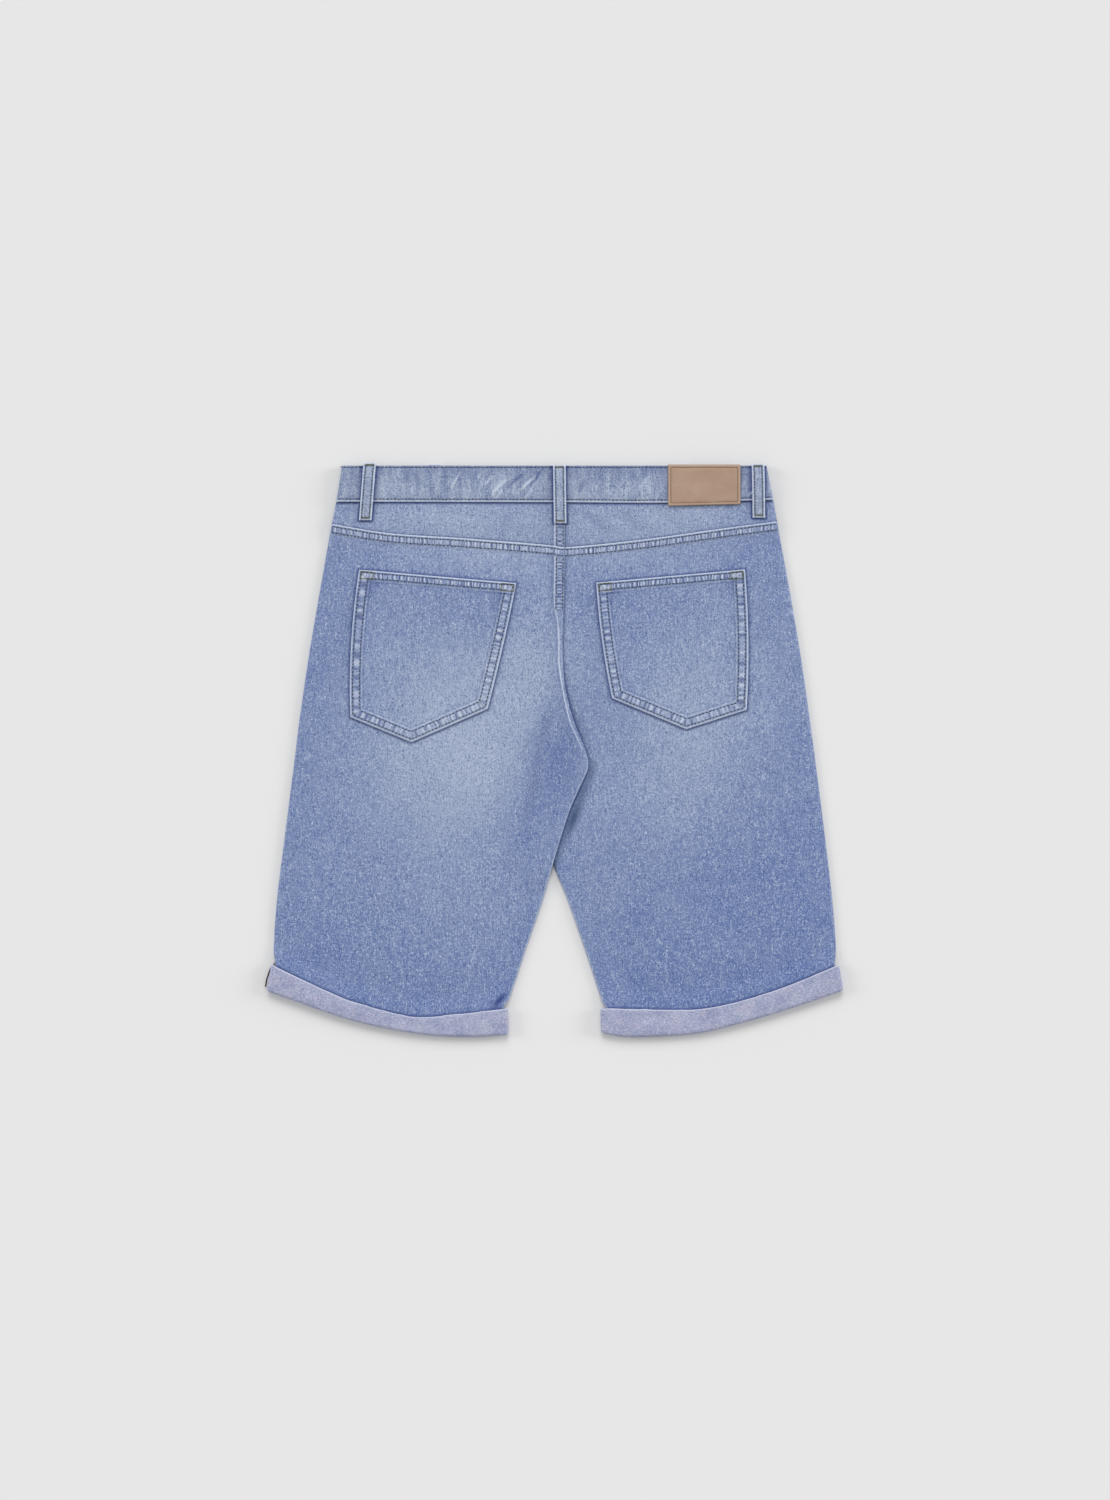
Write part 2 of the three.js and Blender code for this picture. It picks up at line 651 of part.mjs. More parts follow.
// A patch pocket, made from the panel under it: five corners, with folded and stitched edges.
function pocket(half) {
  const { topOuter, topInner, bottomOuter, bottomInner, tip, bow } = POCKETS[half];
  const corner = ([x, y]) => new THREE.Vector2(x, y);
  const top = (u) => corner(topOuter).lerp(corner(topInner), u);
  const TIP_SHARE = 0.45;
  const bottom = (u) =>
    u < TIP_SHARE
      ? corner(bottomOuter).lerp(corner(tip), u / TIP_SHARE)
      : corner(tip).lerp(corner(bottomInner), (u - TIP_SHARE) / (1 - TIP_SHARE));
  const EDGE = 0.066; // the stitched edge, as a share of the pocket
  const STEP = 0.006;
  const middle = [0.18, 0.32, TIP_SHARE, 0.58, 0.72, 0.86];
  const across = [0, EDGE, EDGE + STEP, ...middle, 1 - EDGE - STEP, 1 - EDGE, 1];
  const rows = [0, EDGE, EDGE + STEP, 0.2, 0.36, 0.52, 0.68, 0.84, 1 - EDGE - STEP, 1 - EDGE, 1];
  const inBand = (share) => share <= EDGE || share >= 1 - EDGE;
  return wallOf(`pocket_back_${half}`, denim(), rows, across, (u, v) => {
    const p = bottom(u).lerp(top(u), v);
    p.x += inward[half] * lerp(-bow.outer, bow.inner, u) * 4 * v * (1 - v);
    const rest = backTop(half, p.x, p.y) + SEAM_GAP;
    const extra = inBand(u) || inBand(v) ? HEM_EXTRA : 0;
    return {
      outer: new THREE.Vector3(p.x, p.y, rest + CLOTH + extra),
      inner: new THREE.Vector3(p.x, p.y, rest),
    };
  });
}

// What a loop lies on at the back: the waistband, and below it the yoke.
function waistTop(x, y) {
  const left = x < leftInner(y) + 1;
  const yokeTop = backTop(left ? "left" : "right", x, y) + (left ? seatLap(Math.min(x, leftInner(y)), y) : 0);
  return Math.max(yokeTop, lerp(BAND_TOP, yokeTop, ramp(bandSeam(x) - y, 1, 7)));
}

function backLoop({ name, upper, lower, low, high }) {
  const heights = [low, low + 5, 238, 241, 245.5, 249, 258, 275, 282, high];
  const ARCH = 0.5; // slack in the middle of the loop
  return wallOf(name, denim(), heights, [-0.5, 0.5], (side, y) => {
    const share = ramp(y, low, high);
    const middle = lerp(lower, upper, share);
    const x = middle + side * LOOP_WIDTH;
    const below = [-0.5, -0.25, 0, 0.25, 0.5].map((part) => waistTop(middle + part * LOOP_WIDTH, y));
    const under = Math.max(...below);
    const rest = under + SEAM_GAP + ARCH * Math.sin(Math.PI * share);
    return {
      outer: new THREE.Vector3(x, y, rest + LOOP_WALL),
      inner: new THREE.Vector3(x, y, rest),
    };
  });
}

function frontLoop({ name, x }) {
  const heights = [FRONT_LOOP_ENDS.low, FRONT_LOOP_ENDS.high];
  return wallOf(name, denim(), heights, [-0.5, 0.5], (side, y) => ({
    outer: new THREE.Vector3(x + side * LOOP_WIDTH, y, 0),
    inner: new THREE.Vector3(x + side * LOOP_WIDTH, y, WAIST_LIFT - SEAM_GAP),
  }));
}

function patch() {
  const across = [0, 1 / 3, 2 / 3, 1];
  const rows = [0, 0.5, 1];
  return wallOf("leather_patch", leather(), rows, across, (u, v) => {
    const x = lerp(PATCH.left, PATCH.right, u);
    const y = lerp(lerp(PATCH.bottomLeft, PATCH.bottomRight, u), PATCH.top, v);
    const rest = BAND_TOP + SEAM_GAP;
    return {
      outer: new THREE.Vector3(x, y, rest + PATCH_WALL),
      inner: new THREE.Vector3(x, y, rest),
    };
  });
}

// The waist button, face down on the surface under the front end of the waistband.
function button() {
  const { radius, height } = BUTTON;
  const profile = [
    new THREE.Vector2(0, 0),
    new THREE.Vector2(radius * 0.72, 0),
    new THREE.Vector2(radius, height * 0.3),
    new THREE.Vector2(radius, height * 0.6),
    new THREE.Vector2(radius * 0.6, height),
    new THREE.Vector2(0, height),
  ];
  const mesh = new THREE.Mesh(new THREE.LatheGeometry(profile, 20), metal());
  mesh.name = "waist_button";
  mesh.rotation.x = Math.PI / 2;
  mesh.position.set(BUTTON.x, BUTTON.y, 0);
  return mesh;
}

// The closed zip, a strip inside the front along its centre seam.
function zip() {
  const heights = [ZIP.bottom, 160, 201, 213, 225, ZIP.top];
  return wallOf("fly_zip", tape(), heights, [ZIP.left, ZIP.right], (x, y) => {
    const rest = CLOTH + frontLift("left", x, y) + SEAM_GAP;
    return {
      outer: new THREE.Vector3(x, y, rest + ZIP.thickness),
      inner: new THREE.Vector3(x, y, rest),
    };
  });
}

const shorts = new THREE.Group();
shorts.name = "denim_shorts";
shorts.add(waistband());
for (const half of HALVES) {
  shorts.add(frontPanel(half), backPanel(half), yoke(half), pocket(half));
  shorts.add(cuff(half, "front"), cuff(half, "back"));
}
for (const loop of LOOPS) shorts.add(backLoop(loop));
for (const loop of FRONT_LOOPS) shorts.add(frontLoop(loop));
shorts.add(patch(), button(), zip());

export default shorts;
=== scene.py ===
"""Denim shorts with turned-up hems, laid flat with the back upwards.

Lengths are millimetres in the tables and functions, and mesh_object() turns them into metres.
Seen from above, +X is to the right, +Y towards the waist and +Z up out of the surface.
"""
import math

import bpy
import numpy as np
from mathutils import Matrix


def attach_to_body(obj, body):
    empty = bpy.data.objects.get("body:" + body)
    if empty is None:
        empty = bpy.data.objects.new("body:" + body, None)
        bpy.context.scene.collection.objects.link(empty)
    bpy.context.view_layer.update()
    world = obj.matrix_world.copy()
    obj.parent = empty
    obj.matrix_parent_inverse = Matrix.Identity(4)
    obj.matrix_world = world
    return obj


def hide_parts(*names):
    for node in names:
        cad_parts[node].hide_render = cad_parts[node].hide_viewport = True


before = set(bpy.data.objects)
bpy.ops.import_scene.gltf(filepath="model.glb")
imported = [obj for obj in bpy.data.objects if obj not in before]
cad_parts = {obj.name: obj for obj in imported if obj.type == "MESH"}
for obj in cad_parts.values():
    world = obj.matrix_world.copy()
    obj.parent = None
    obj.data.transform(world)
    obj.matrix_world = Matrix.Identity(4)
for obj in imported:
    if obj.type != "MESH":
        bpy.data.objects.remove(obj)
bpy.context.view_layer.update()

MM = 0.001

# Sizes, as in the solids
CLOTH = 1.2
BAND_WALL = 2.4
CUFF_WALL = 2.6
LOOP_WALL = 2.0
PATCH_WALL = 1.4
HEM_EXTRA = 0.8
SEAM_GAP = 0.3
WAIST_LIFT = 2.4
CUFF_LIFT = CUFF_WALL + SEAM_GAP
FOLD_RISE = 2.2
PUFF = 2.6
PUFF_REACH = 70
BAND_TOP = 8
CUFF_HEIGHT = 9.2
LAP = 8
LAP_RISE = CLOTH + SEAM_GAP
FLAT_BESIDE = 24
FOLD_REACH = 3
CROTCH_Y = -8
LENS_END_Y = -115
OVER_LIFT = CLOTH + FOLD_RISE + SEAM_GAP
LEG_END = 2.4
LOOP_WIDTH = 12.6
BAND_TOP_Y = 283.7

HALVES = ("left", "right")
INWARD = {"left": 1, "right": -1}

# The outer sides: y, left, right
SIDE_ROWS = [
    (284, -212.5, 211), (248, -218.5, 218), (210, -225.8, 225), (150, -236.4, 236), (90, -246.5, 246),
    (30, -255.2, 254.5), (-30, -262.7, 262.5), (-90, -270.4, 270), (-150, -277.7, 277), (-200, -280.9, 280.5),
    (-216, -279, 279), (-240, -283.8, 283.3),
]
# The inner edge of the left panels: y, x
LEFT_INNER_ROWS = [
    (248, 10), (150, 9), (110, 7.5), (65, 9.8), (28, 19.2), (4, 28.8), (-8, 32.6), (-18, 33), (-30, 28.2),
    (-60, 14.9), (-100, 2), (-150, -12.4), (-200, -29.7), (-240, -42.8), (-250, -46.8), (-258, -52),
    (-286, -52),
]
# The inner edges of the right panels: y, back, front
RIGHT_INNER_ROWS = [
    (248, 2, 3), (150, 1, 3), (110, -0.5, 3), (65, 2.5, 5), (28, 10, 10), (4, 18.5, 16), (-8, 18, 17.5),
    (-14, 13, 13), (-25, 2, 2), (-45, -5, -5), (-70, -8, -8), (-100, -5, -5), (-115, -1.5, -1.5),
    (-150, 12.6, 12.6), (-210, 33.6, 33.6), (-250, 46.8, 46.8), (-258, 51, 51), (-286, 51, 51),
]
# The yoke's lower seam: x, y
YOKE_ROWS = [
    (-222, 225), (-166, 216), (-93, 211), (-5, 204), (10, 202), (87, 209.5), (163, 220), (220, 227.5),
]
# The waistband's lower edge: x, y
BAND_ROWS = [(-219, 247.5), (0, 247), (110, 246.5), (219, 249.5)]
# The turned-up hems: x, top, bottom
CUFF_ROWS = {
    "left": [(-288, -211.5, -240.5), (-244, -232.8, -256.2), (-210, -248, -267.8), (-181, -257.2, -275.2),
             (-139, -266.3, -282.8), (-97, -263.5, -286.2), (-46, -257.5, -284.5)],
    "right": [(45, -258, -282), (70, -258.2, -286.2), (138, -259, -283.3), (181, -251.5, -274),
              (233, -235, -258.7), (288, -212, -240)],
}
# The hems' ends, as x: outer top, outer bottom, inner top, inner bottom
CUFF_ENDS = {"left": (-283.2, -288, -47.2, -46.5), "right": (283.2, 288, 45.3, 45.8)}
# Soft folds of the back: from x, from y, to x, to y, height, half width
FOLDS = {
    "left": [(-3.5, 52, -19, -4, -0.8, 9), (-14, 12, -33, -92, -0.9, 10), (11, 8, -5, -74, 0.6, 8),
             (-26, 12, -42, -82, 0.5, 9), (-45, 238, -53, 216, -0.5, 9)],
    "right": [(24, 242, 56, 213, -0.7, 8), (40, 243, 70, 215, 0.4, 8), (57, 243, 89, 216, -0.6, 8),
              (75, 243, 108, 217, 0.4, 9), (98, 243, 131, 219, -0.45, 9)],
}
# Puckers of the waistband: x, height, half width
PUCKERS = [
    (-204, 0.5, 6), (-172, 0.7, 4.5), (-162, 0.5, 4), (-153, 0.8, 4.5), (-142, 0.7, 5), (-130.5, 0.6, 5.5),
    (-116, 0.9, 6.5), (-102, 0.8, 6), (-89, 0.6, 6), (-75.5, 0.8, 6.5), (-58, 0.7, 8), (-41, 0.9, 6.5),
    (-28, 0.5, 5.5), (20, 0.6, 4), (28.5, 0.5, 4), (39, 0.8, 5.5), (55, 0.6, 7.5), (71, 0.9, 6.5),
    (83, 0.5, 5), (93, 0.8, 5), (103, 0.5, 4.5),
]
# The pockets' corners: top outer, top inner, bottom outer, bottom inner, tip
POCKETS = {
    "left": ((-195.5, 180), (-38.5, 166.5), (-204.2, 32.7), (-67.2, 40.8), (-143.3, 7.6)),
    "right": ((189.5, 180.2), (41, 167), (191.2, 39.9), (57, 51.4), (131, 20.6)),
}
# How far a pocket's outer and inner side bow out
POCKET_BOWS = {"left": (3.6, 1), "right": (2.6, 2.2)}
POCKET_TIP_SHARE = 0.45
# The belt loops: name, upper x, lower x, low y, high y
LOOPS = [
    ("belt_loop_back_left", -184.7, -189.3, 229, 286.2),
    ("belt_loop_back_centre", 4.3, 5.2, 226, 284),
    ("belt_loop_back_right", 202.4, 203.4, 231.5, 285),
]
FRONT_LOOPS = [("belt_loop_front_left", -120), ("belt_loop_front_right", 126)]
FRONT_LOOP_ENDS = (229, 284.8)
PATCH = {"left": 112.7, "right": 185, "top": 284.6, "bottom_left": 243.3, "bottom_right": 245}
PATCH_OUTLINE = [(PATCH["left"], PATCH["top"]), (PATCH["right"], PATCH["top"]),
                 (PATCH["right"], PATCH["bottom_right"]), (PATCH["left"], PATCH["bottom_left"])]
BUTTON_X, BUTTON_Y = -9, 266
# How far below the waistband, or above the hem, the cloth's slope or puff begins and is whole
WAIST_SLOPE = (22, 45)
CUFF_SLOPE = (2, 18)
PUFF_BY_CUFF = (2, 45)
PUFF_BY_WAIST = (22, 80)
WAIST_PRESS = 0.65
# Heights where each begins and is whole: the flat cloth beside the lap, and the curls of the left and
# of the right leg's inner edge
SEAT_FLAT = (95, 20)
SEAT_CURL = (22, CROTCH_Y)
RIGHT_CURL = (0, -25)
# The lens at the crotch, where the left leg's cloth lies over the right leg's
LENS_REACH = 64
LENS_TOP_Y = 60
LENS_FADE_Y = -155


# Small functions
def lerp(a, b, t):
    return a + (b - a) * t


def ramp(value, a, b):
    return np.clip((value - a) / (b - a), 0, 1)


def smooth(value, a, b):
    t = ramp(value, a, b)
    return t * t * (3 - 2 * t)


def swell(distance, reach):
    return 1 - (1 - np.clip(distance / reach, 0, 1)) ** 2


def bump(distance, width):
    """A soft hump: 1 in the middle, 0 at the half width and beyond."""
    return np.cos(np.pi / 2 * np.clip(np.abs(distance) / width, 0, 1)) ** 2


def track(table, column):
    """A smooth curve through one column of a table, as a function of its first column."""
    rows = sorted(table)
    at = np.array([row[0] for row in rows], float)
    value = np.array([row[column] for row in rows], float)
    before = np.maximum(np.arange(len(rows)) - 1, 0)
    after = np.minimum(np.arange(len(rows)) + 1, len(rows) - 1)
    slope = (value[after] - value[before]) / (at[after] - at[before])

    def curve(place):
        p = np.clip(place, at[0], at[-1])
        i = np.clip(np.searchsorted(at, p, side="left") - 1, 0, len(rows) - 2)
        span = at[i + 1] - at[i]
        t = (p - at[i]) / span
        rise = value[i + 1] - value[i]
        return (value[i] + t * t * (3 - 2 * t) * rise
                + t * (1 - t) * span * ((1 - t) * slope[i] - t * slope[i + 1]))
    return curve


left_inner = track(LEFT_INNER_ROWS, 1)
right_inner = track(RIGHT_INNER_ROWS, 1)
centre_front = track(RIGHT_INNER_ROWS, 2)
yoke_seam = track(YOKE_ROWS, 1)
band_seam = track(BAND_ROWS, 1)
outer_side = {"left": track(SIDE_ROWS, 1), "right": track(SIDE_ROWS, 2)}
inner_side = {"left": left_inner, "right": right_inner}
cuff_top = {half: track(CUFF_ROWS[half], 1) for half in HALVES}
cuff_bottom = {half: track(CUFF_ROWS[half], 2) for half in HALVES}


def lattice(x, y, cell, seed, stretch=1.0):
    """Smooth noise from -1 to 1 on a lattice; stretch is how much longer its grains are along y."""
    x = np.asarray(x, float) / cell + 500
    y = np.asarray(y, float) / (cell * stretch) + 500
    i, j = np.floor(x).astype(int), np.floor(y).astype(int)
    u, v = x - i, y - j
    u, v = u * u * (3 - 2 * u), v * v * (3 - 2 * v)
    table = np.random.default_rng(seed).uniform(-1, 1, (256, 256))
    at = lambda a, b: table[a % 256, b % 256]
    return lerp(lerp(at(i, j), at(i + 1, j), u), lerp(at(i, j + 1), at(i + 1, j + 1), u), v)


# Heights of the cloth
def front_lift(half, x, y):
    """How far a front panel is raised by the waistband and by the hem under it."""
    waist = WAIST_LIFT * (1 - ramp(band_seam(x) - y, *WAIST_SLOPE))
    cuff = CUFF_LIFT * (1 - ramp(y - cuff_top[half](x), *CUFF_SLOPE))
    return waist + cuff


def climb(x, y):
    """How far the left front panel climbs over the right leg at the crotch."""
    edge = right_inner(y)
    return OVER_LIFT * ramp(x, edge - 9, edge - 2) * ramp(y, 14, CROTCH_Y + 2)


def stroke(x0, y0, x1, y1, width, x, y):
    """A soft line from one point to another: 1 in its middle, 0 at its ends and its half width."""
    dx, dy = x1 - x0, y1 - y0
    run = math.hypot(dx, dy)
    along = np.clip(((x - x0) * dx + (y - y0) * dy) / run ** 2, 0, 1)
    return np.sin(np.pi * along) * bump(((x - x0) * dy - (y - y0) * dx) / run, width)


def fold_height(half, x, y):
    return sum(height * stroke(*line, width, x, y) for *line, height, width in FOLDS[half])


def back_top(half, x, y):
    """The outer face of the back without its folds, puffed between its pressed edges."""
    front = CLOTH + front_lift(half, x, y)
    side = swell(np.abs(x - outer_side[half](y)), PUFF_REACH)
    near_cuff = 1 - ramp(y - cuff_top[half](x), *PUFF_BY_CUFF)
    near_waist = WAIST_PRESS * (1 - ramp(band_seam(x) - y, *PUFF_BY_WAIST))
    puff = PUFF * (1 - near_cuff) * (1 - near_waist)
    if half == "right":
        seen = np.maximum(left_inner(y), right_inner(y))
        inner = lerp(1, swell(x - seen - FLAT_BESIDE, PUFF_REACH), ramp(y, *SEAT_FLAT))
        return front + FOLD_RISE + puff * side * inner
    inner = lerp(1, swell(left_inner(y) - x, PUFF_REACH), ramp(y, LENS_END_Y + 10, LENS_END_Y - 30))
    opened = front + FOLD_RISE + puff * side * inner
    aside = np.maximum(0, right_inner(y) - x) / LENS_REACH
    above, below = ramp(y, CROTCH_Y, LENS_TOP_Y), ramp(y, LENS_END_Y, LENS_FADE_Y)
    away = np.hypot(np.hypot(aside, above), below)
    return lerp(CLOTH + OVER_LIFT + FOLD_RISE, opened, smooth(away, 0, 1))


def seat_curl(y):
    """How far the left panel's inner edge curls under: 0 on the lap, 1 on the free leg."""
    return ramp(y, *SEAT_CURL)


def right_curl(y):
    return ramp(y, *RIGHT_CURL)


def seat_lap(x, y):
    """How far the left panel is raised where it laps over the right one."""
    lapped = 1 - smooth(left_inner(y) - x, LAP, LAP + 4)
    return LAP_RISE * lapped * (1 - seat_curl(y))


def drape(x, y):
    """The low unevenness of washed cloth that was smoothed by hand."""
    return 0.22 * lattice(x, y, 46, 3, 1.6) + 0.1 * lattice(x + y * 0.3, y, 15, 4, 2.2)


def panel_face(half, x, y):
    """The outer face of a back panel or yoke, with its lap and folds."""
    top = back_top(half, x, y) + fold_height(half, x, y) + drape(x, y)
    return top + seat_lap(x, y) if half == "left" else top


# Mesh makers
def collection_add(obj):
    bpy.context.scene.collection.objects.link(obj)
    return obj


def xyz(x, y, z):
    """Points from their coordinates, where one number may stand for all of them."""
    return np.stack(np.broadcast_arrays(x, y, z), -1)


def mesh_object(name, points, quads, material, fields=None):
    """A smooth mesh from points in millimetres and faces of four corners."""
    mesh = bpy.data.meshes.new(name)
    points = np.asarray(points, np.float32) * MM
    mesh.vertices.add(len(points))
    mesh.vertices.foreach_set("co", points.ravel())
    quads = np.asarray(quads, np.int32)
    mesh.loops.add(quads.size)
    mesh.loops.foreach_set("vertex_index", quads.ravel())
    mesh.polygons.add(len(quads))
    mesh.polygons.foreach_set("loop_start", np.arange(0, quads.size, quads.shape[1], dtype=np.int32))
    mesh.polygons.foreach_set("use_smooth", np.ones(len(quads), bool))
    for field, values in (fields or {}).items():
        layer = mesh.attributes.new(field, "FLOAT", "POINT")
        layer.data.foreach_set("value", np.asarray(values, np.float32).ravel())
    mesh.update(calc_edges=True)
    mesh.validate()
    mesh.materials.append(material)
    return collection_add(bpy.data.objects.new(name, mesh))


def faces_of(*corners):
    return np.stack(corners, -1).reshape(-1, 4)


def shell(name, outer, inner, material, fields, ring=False):
    """A closed wall between two grids of points (rows, columns, 3). A ring joins its last column to
    its first."""
    rows, columns = outer.shape[:2]
    over = np.arange(rows * columns).reshape(rows, columns)
    if ring:
        over = np.concatenate([over, over[:, :1]], axis=1)
    under = over + rows * columns
    faces = [faces_of(over[:-1, :-1], over[:-1, 1:], over[1:, 1:], over[1:, :-1]),
             faces_of(under[:-1, :-1], under[1:, :-1], under[1:, 1:], under[:-1, 1:]),
             faces_of(over[0, :-1], under[0, :-1], under[0, 1:], over[0, 1:]),
             faces_of(over[-1, :-1], over[-1, 1:], under[-1, 1:], under[-1, :-1])]
    if not ring:
        faces.append(faces_of(over[:-1, 0], over[1:, 0], under[1:, 0], under[:-1, 0]))
        faces.append(faces_of(over[:-1, -1], under[:-1, -1], under[1:, -1], over[1:, -1]))
    quads = np.concatenate(faces)
    points = np.concatenate([outer.reshape(-1, 3), inner.reshape(-1, 3)])
    p = points[quads]
    volume = (np.cross(p[:, 0], p[:, 1]) * p[:, 2]).sum() + (np.cross(p[:, 0], p[:, 2]) * p[:, 3]).sum()
    if volume < 0:
        quads = quads[:, ::-1]
    both = {field: np.tile(np.broadcast_to(values, (rows, columns)).ravel(), 2)
            for field, values in fields.items()}
    return mesh_object(name, points, quads, material, both)


def slab(name, x, y, top, rest, material, fields):
    """A wall whose two faces lie over the same places."""
    return shell(name, xyz(x, y, top), xyz(x, y, rest), material, fields)


# Materials
def rgb(red, green, blue):
    """A colour on the 0 to 255 scale as the linear one that a shader takes."""
    parts = [channel / 255 for channel in (red, green, blue)]
    return tuple(c / 12.92 if c <= 0.04045 else ((c + 0.055) / 1.055) ** 2.4 for c in parts) + (1.0,)


GATHER_PITCH = 2.3


class Shader:
    """A node material, with short calls for the nodes that cloth needs."""

    def __init__(self, name, roughness, sheen=0.0, specular=0.25, metallic=0.0):
        self.material = bpy.data.materials.new(name)
        self.material.use_nodes = True
        self.tree = self.material.node_tree
        self.bsdf = self.tree.nodes["Principled BSDF"]
        finish = {"Roughness": roughness, "Metallic": metallic, "Specular IOR Level": specular,
                  "Sheen Weight": sheen, "Sheen Roughness": 0.5}
        for socket, value in finish.items():
            self.bsdf.inputs[socket].default_value = value
        self.coordinates = self.node("TexCoord").outputs["Object"]

    def node(self, kind, inputs=(), **settings):
        made = self.tree.nodes.new("ShaderNode" + kind)
        for key, value in settings.items():
            setattr(made, key, value)
        for socket, value in dict(inputs).items():
            self.put(made.inputs[socket], value)
        return made

    def put(self, socket, value):
        if isinstance(value, bpy.types.NodeSocket):
            self.tree.links.new(value, socket)
        else:
            socket.default_value = value

    def field(self, name):
        return self.node("Attribute", attribute_name=name).outputs["Fac"]

    def places(self, grain, stretch=1.0, turn=0.0):
        """Object coordinates in units of one grain (mm), drawn out along the cloth's length."""
        scale = (1000 / grain, 1000 / (grain * stretch), 1000 / grain)
        inputs = {"Vector": self.coordinates, "Scale": scale, "Rotation": (0, 0, math.radians(turn))}
        return self.node("Mapping", inputs).outputs["Vector"]

    def noise(self, grain, stretch=1.0, detail=1.0):
        """Noise that runs from about -1 to 1."""
        inputs = {"Scale": 1.0, "Detail": detail, "Vector": self.places(grain, stretch)}
        return self.math("MULTIPLY_ADD", self.node("TexNoise", inputs).outputs["Fac"], 4.0, -2.0)

    def gathers(self, along):
        """Uneven ridges across a seam, from about -1 to 1."""
        inputs = {"Scale": 1.0, "Detail": 1.0, "W": self.times(along, 1 / GATHER_PITCH)}
        made = self.node("TexNoise", inputs, noise_dimensions="1D")
        return self.math("MULTIPLY_ADD", made.outputs["Fac"], 5.0, -2.5)

    def math(self, operation, *terms):
        return self.node("Math", enumerate(terms), operation=operation).outputs[0]

    def times(self, a, b):
        return self.math("MULTIPLY", a, b)

    def total(self, *terms):
        """The sum of socket and weight pairs."""
        result = 0.0
        for socket, weight in terms:
            result = self.math("MULTIPLY_ADD", socket, weight, result)
        return result

    def span(self, value, low, high, first=0.0, last=1.0):
        inputs = enumerate((value, low, high, first, last))
        return self.node("MapRange", inputs, interpolation_type="SMOOTHSTEP").outputs["Result"]

    def mix(self, share, a, b):
        return self.node("Mix", {0: share, 6: a, 7: b}, data_type="RGBA", clamp_factor=True).outputs[2]

    def finish(self, colour, height, depth):
        """Closes the material with its colour and a bump of that depth in millimetres."""
        inputs = {"Strength": 1.0, "Distance": depth * MM, "Height": height}
        self.put(self.bsdf.inputs["Normal"], self.node("Bump", inputs).outputs["Normal"])
        self.put(self.bsdf.inputs["Base Color"], colour)
        return self.material


# Colours of the denim, from its unfaded dye to its worn and highlighted edges, with the indigo and grey of
# its painted shade
DEEP = rgb(99, 120, 170)
PALE = rgb(163, 176, 201)
WEAR_AND_HIGHLIGHT = rgb(206, 216, 233)
INDIGO_SHADE = rgb(52, 68, 126)
SALT = rgb(198, 209, 228)
PEPPER = rgb(58, 78, 136)
SHADOW_GREY = rgb(66, 86, 118)


def denim_material(name, deep=DEEP, pale=PALE, streaks=1.0):
    """Washed twill, led by the mesh's own fields: wash is how faded it is, light is worn edges with painted
    highlights on ridges and creases, shade is painted shade by seams, edges and creases with a little unfaded
    indigo, gloom is a painted grey shadow, cover is how far in mm a piece is that lies on the cloth, covered
    is how dark the painted shadow along that piece's edge is, and ladder is where gathers cross a seam, along
    which the along field runs in mm."""
    s = Shader(name, roughness=0.92, sheen=0.1, specular=0.12)
    fine = s.noise(0.9, 1.2)
    coarse = s.noise(1.6, 1.5)
    slub = s.noise(1.0, 11.0)
    weft = s.noise(7.0, 0.14)
    cloud = s.noise(17, 1.4, detail=2.5)
    blotch = s.noise(5.5, 1.3, detail=1.5)
    tone = s.total((s.field("wash"), 1.0), (cloud, 0.07), (blotch, 0.06))
    colour = s.mix(tone, deep, pale)
    speck = s.total((fine, 1.15), (coarse, 0.7), (slub, 0.4 * streaks), (weft, 0.22))
    colour = s.mix(s.span(speck, 0.0, 1.6, 0.0, 0.74), colour, SALT)
    colour = s.mix(s.span(speck, 0.0, -1.5, 0.0, 0.72), colour, PEPPER)
    gathers = s.gathers(s.field("along"))
    ladder = s.field("ladder")
    # Painted shade: the shade field and the dark sides of the gathers pull the colour to the indigo shade;
    # the gathers are partly real wear
    shade = s.total((s.field("shade"), 0.85), (s.times(s.span(gathers, 0.1, -0.9), ladder), 0.85))
    colour = s.mix(shade, colour, INDIGO_SHADE)
    # Painted shadow along the edges of the pockets, waistband, loops, hems, yoke seam and lap that lie on the
    # cloth
    contact_shadow = s.times(s.span(s.field("cover"), 3.6, 0.2), s.field("covered"))
    colour = s.mix(s.times(contact_shadow, 0.9), colour, INDIGO_SHADE)
    # Painted grey shadow where the left leg lies over the right one
    colour = s.mix(s.field("gloom"), colour, SHADOW_GREY)
    # Worn edges and wear, with painted highlights on ridges, creases and the raised sides of the gathers
    light = s.total((speck, 0.1), (s.field("light"), 1.0))
    light = s.times(light, s.span(s.field("light"), 0.02, 0.25))
    light = s.total((light, 1.0), (s.times(s.span(gathers, 0.0, 0.9), ladder), 0.68))
    colour = s.mix(light, colour, WEAR_AND_HIGHLIGHT)
    twill = s.node("TexWave", {"Scale": 1.0, "Vector": s.places(2.6, 1.0, 62)}, bands_direction="X")
    height = s.total((twill.outputs["Fac"], 0.4), (fine, 0.35), (coarse, 0.3), (slub, 0.25),
                     (s.times(gathers, ladder), 1.6))
    return s.finish(colour, height, 0.17)


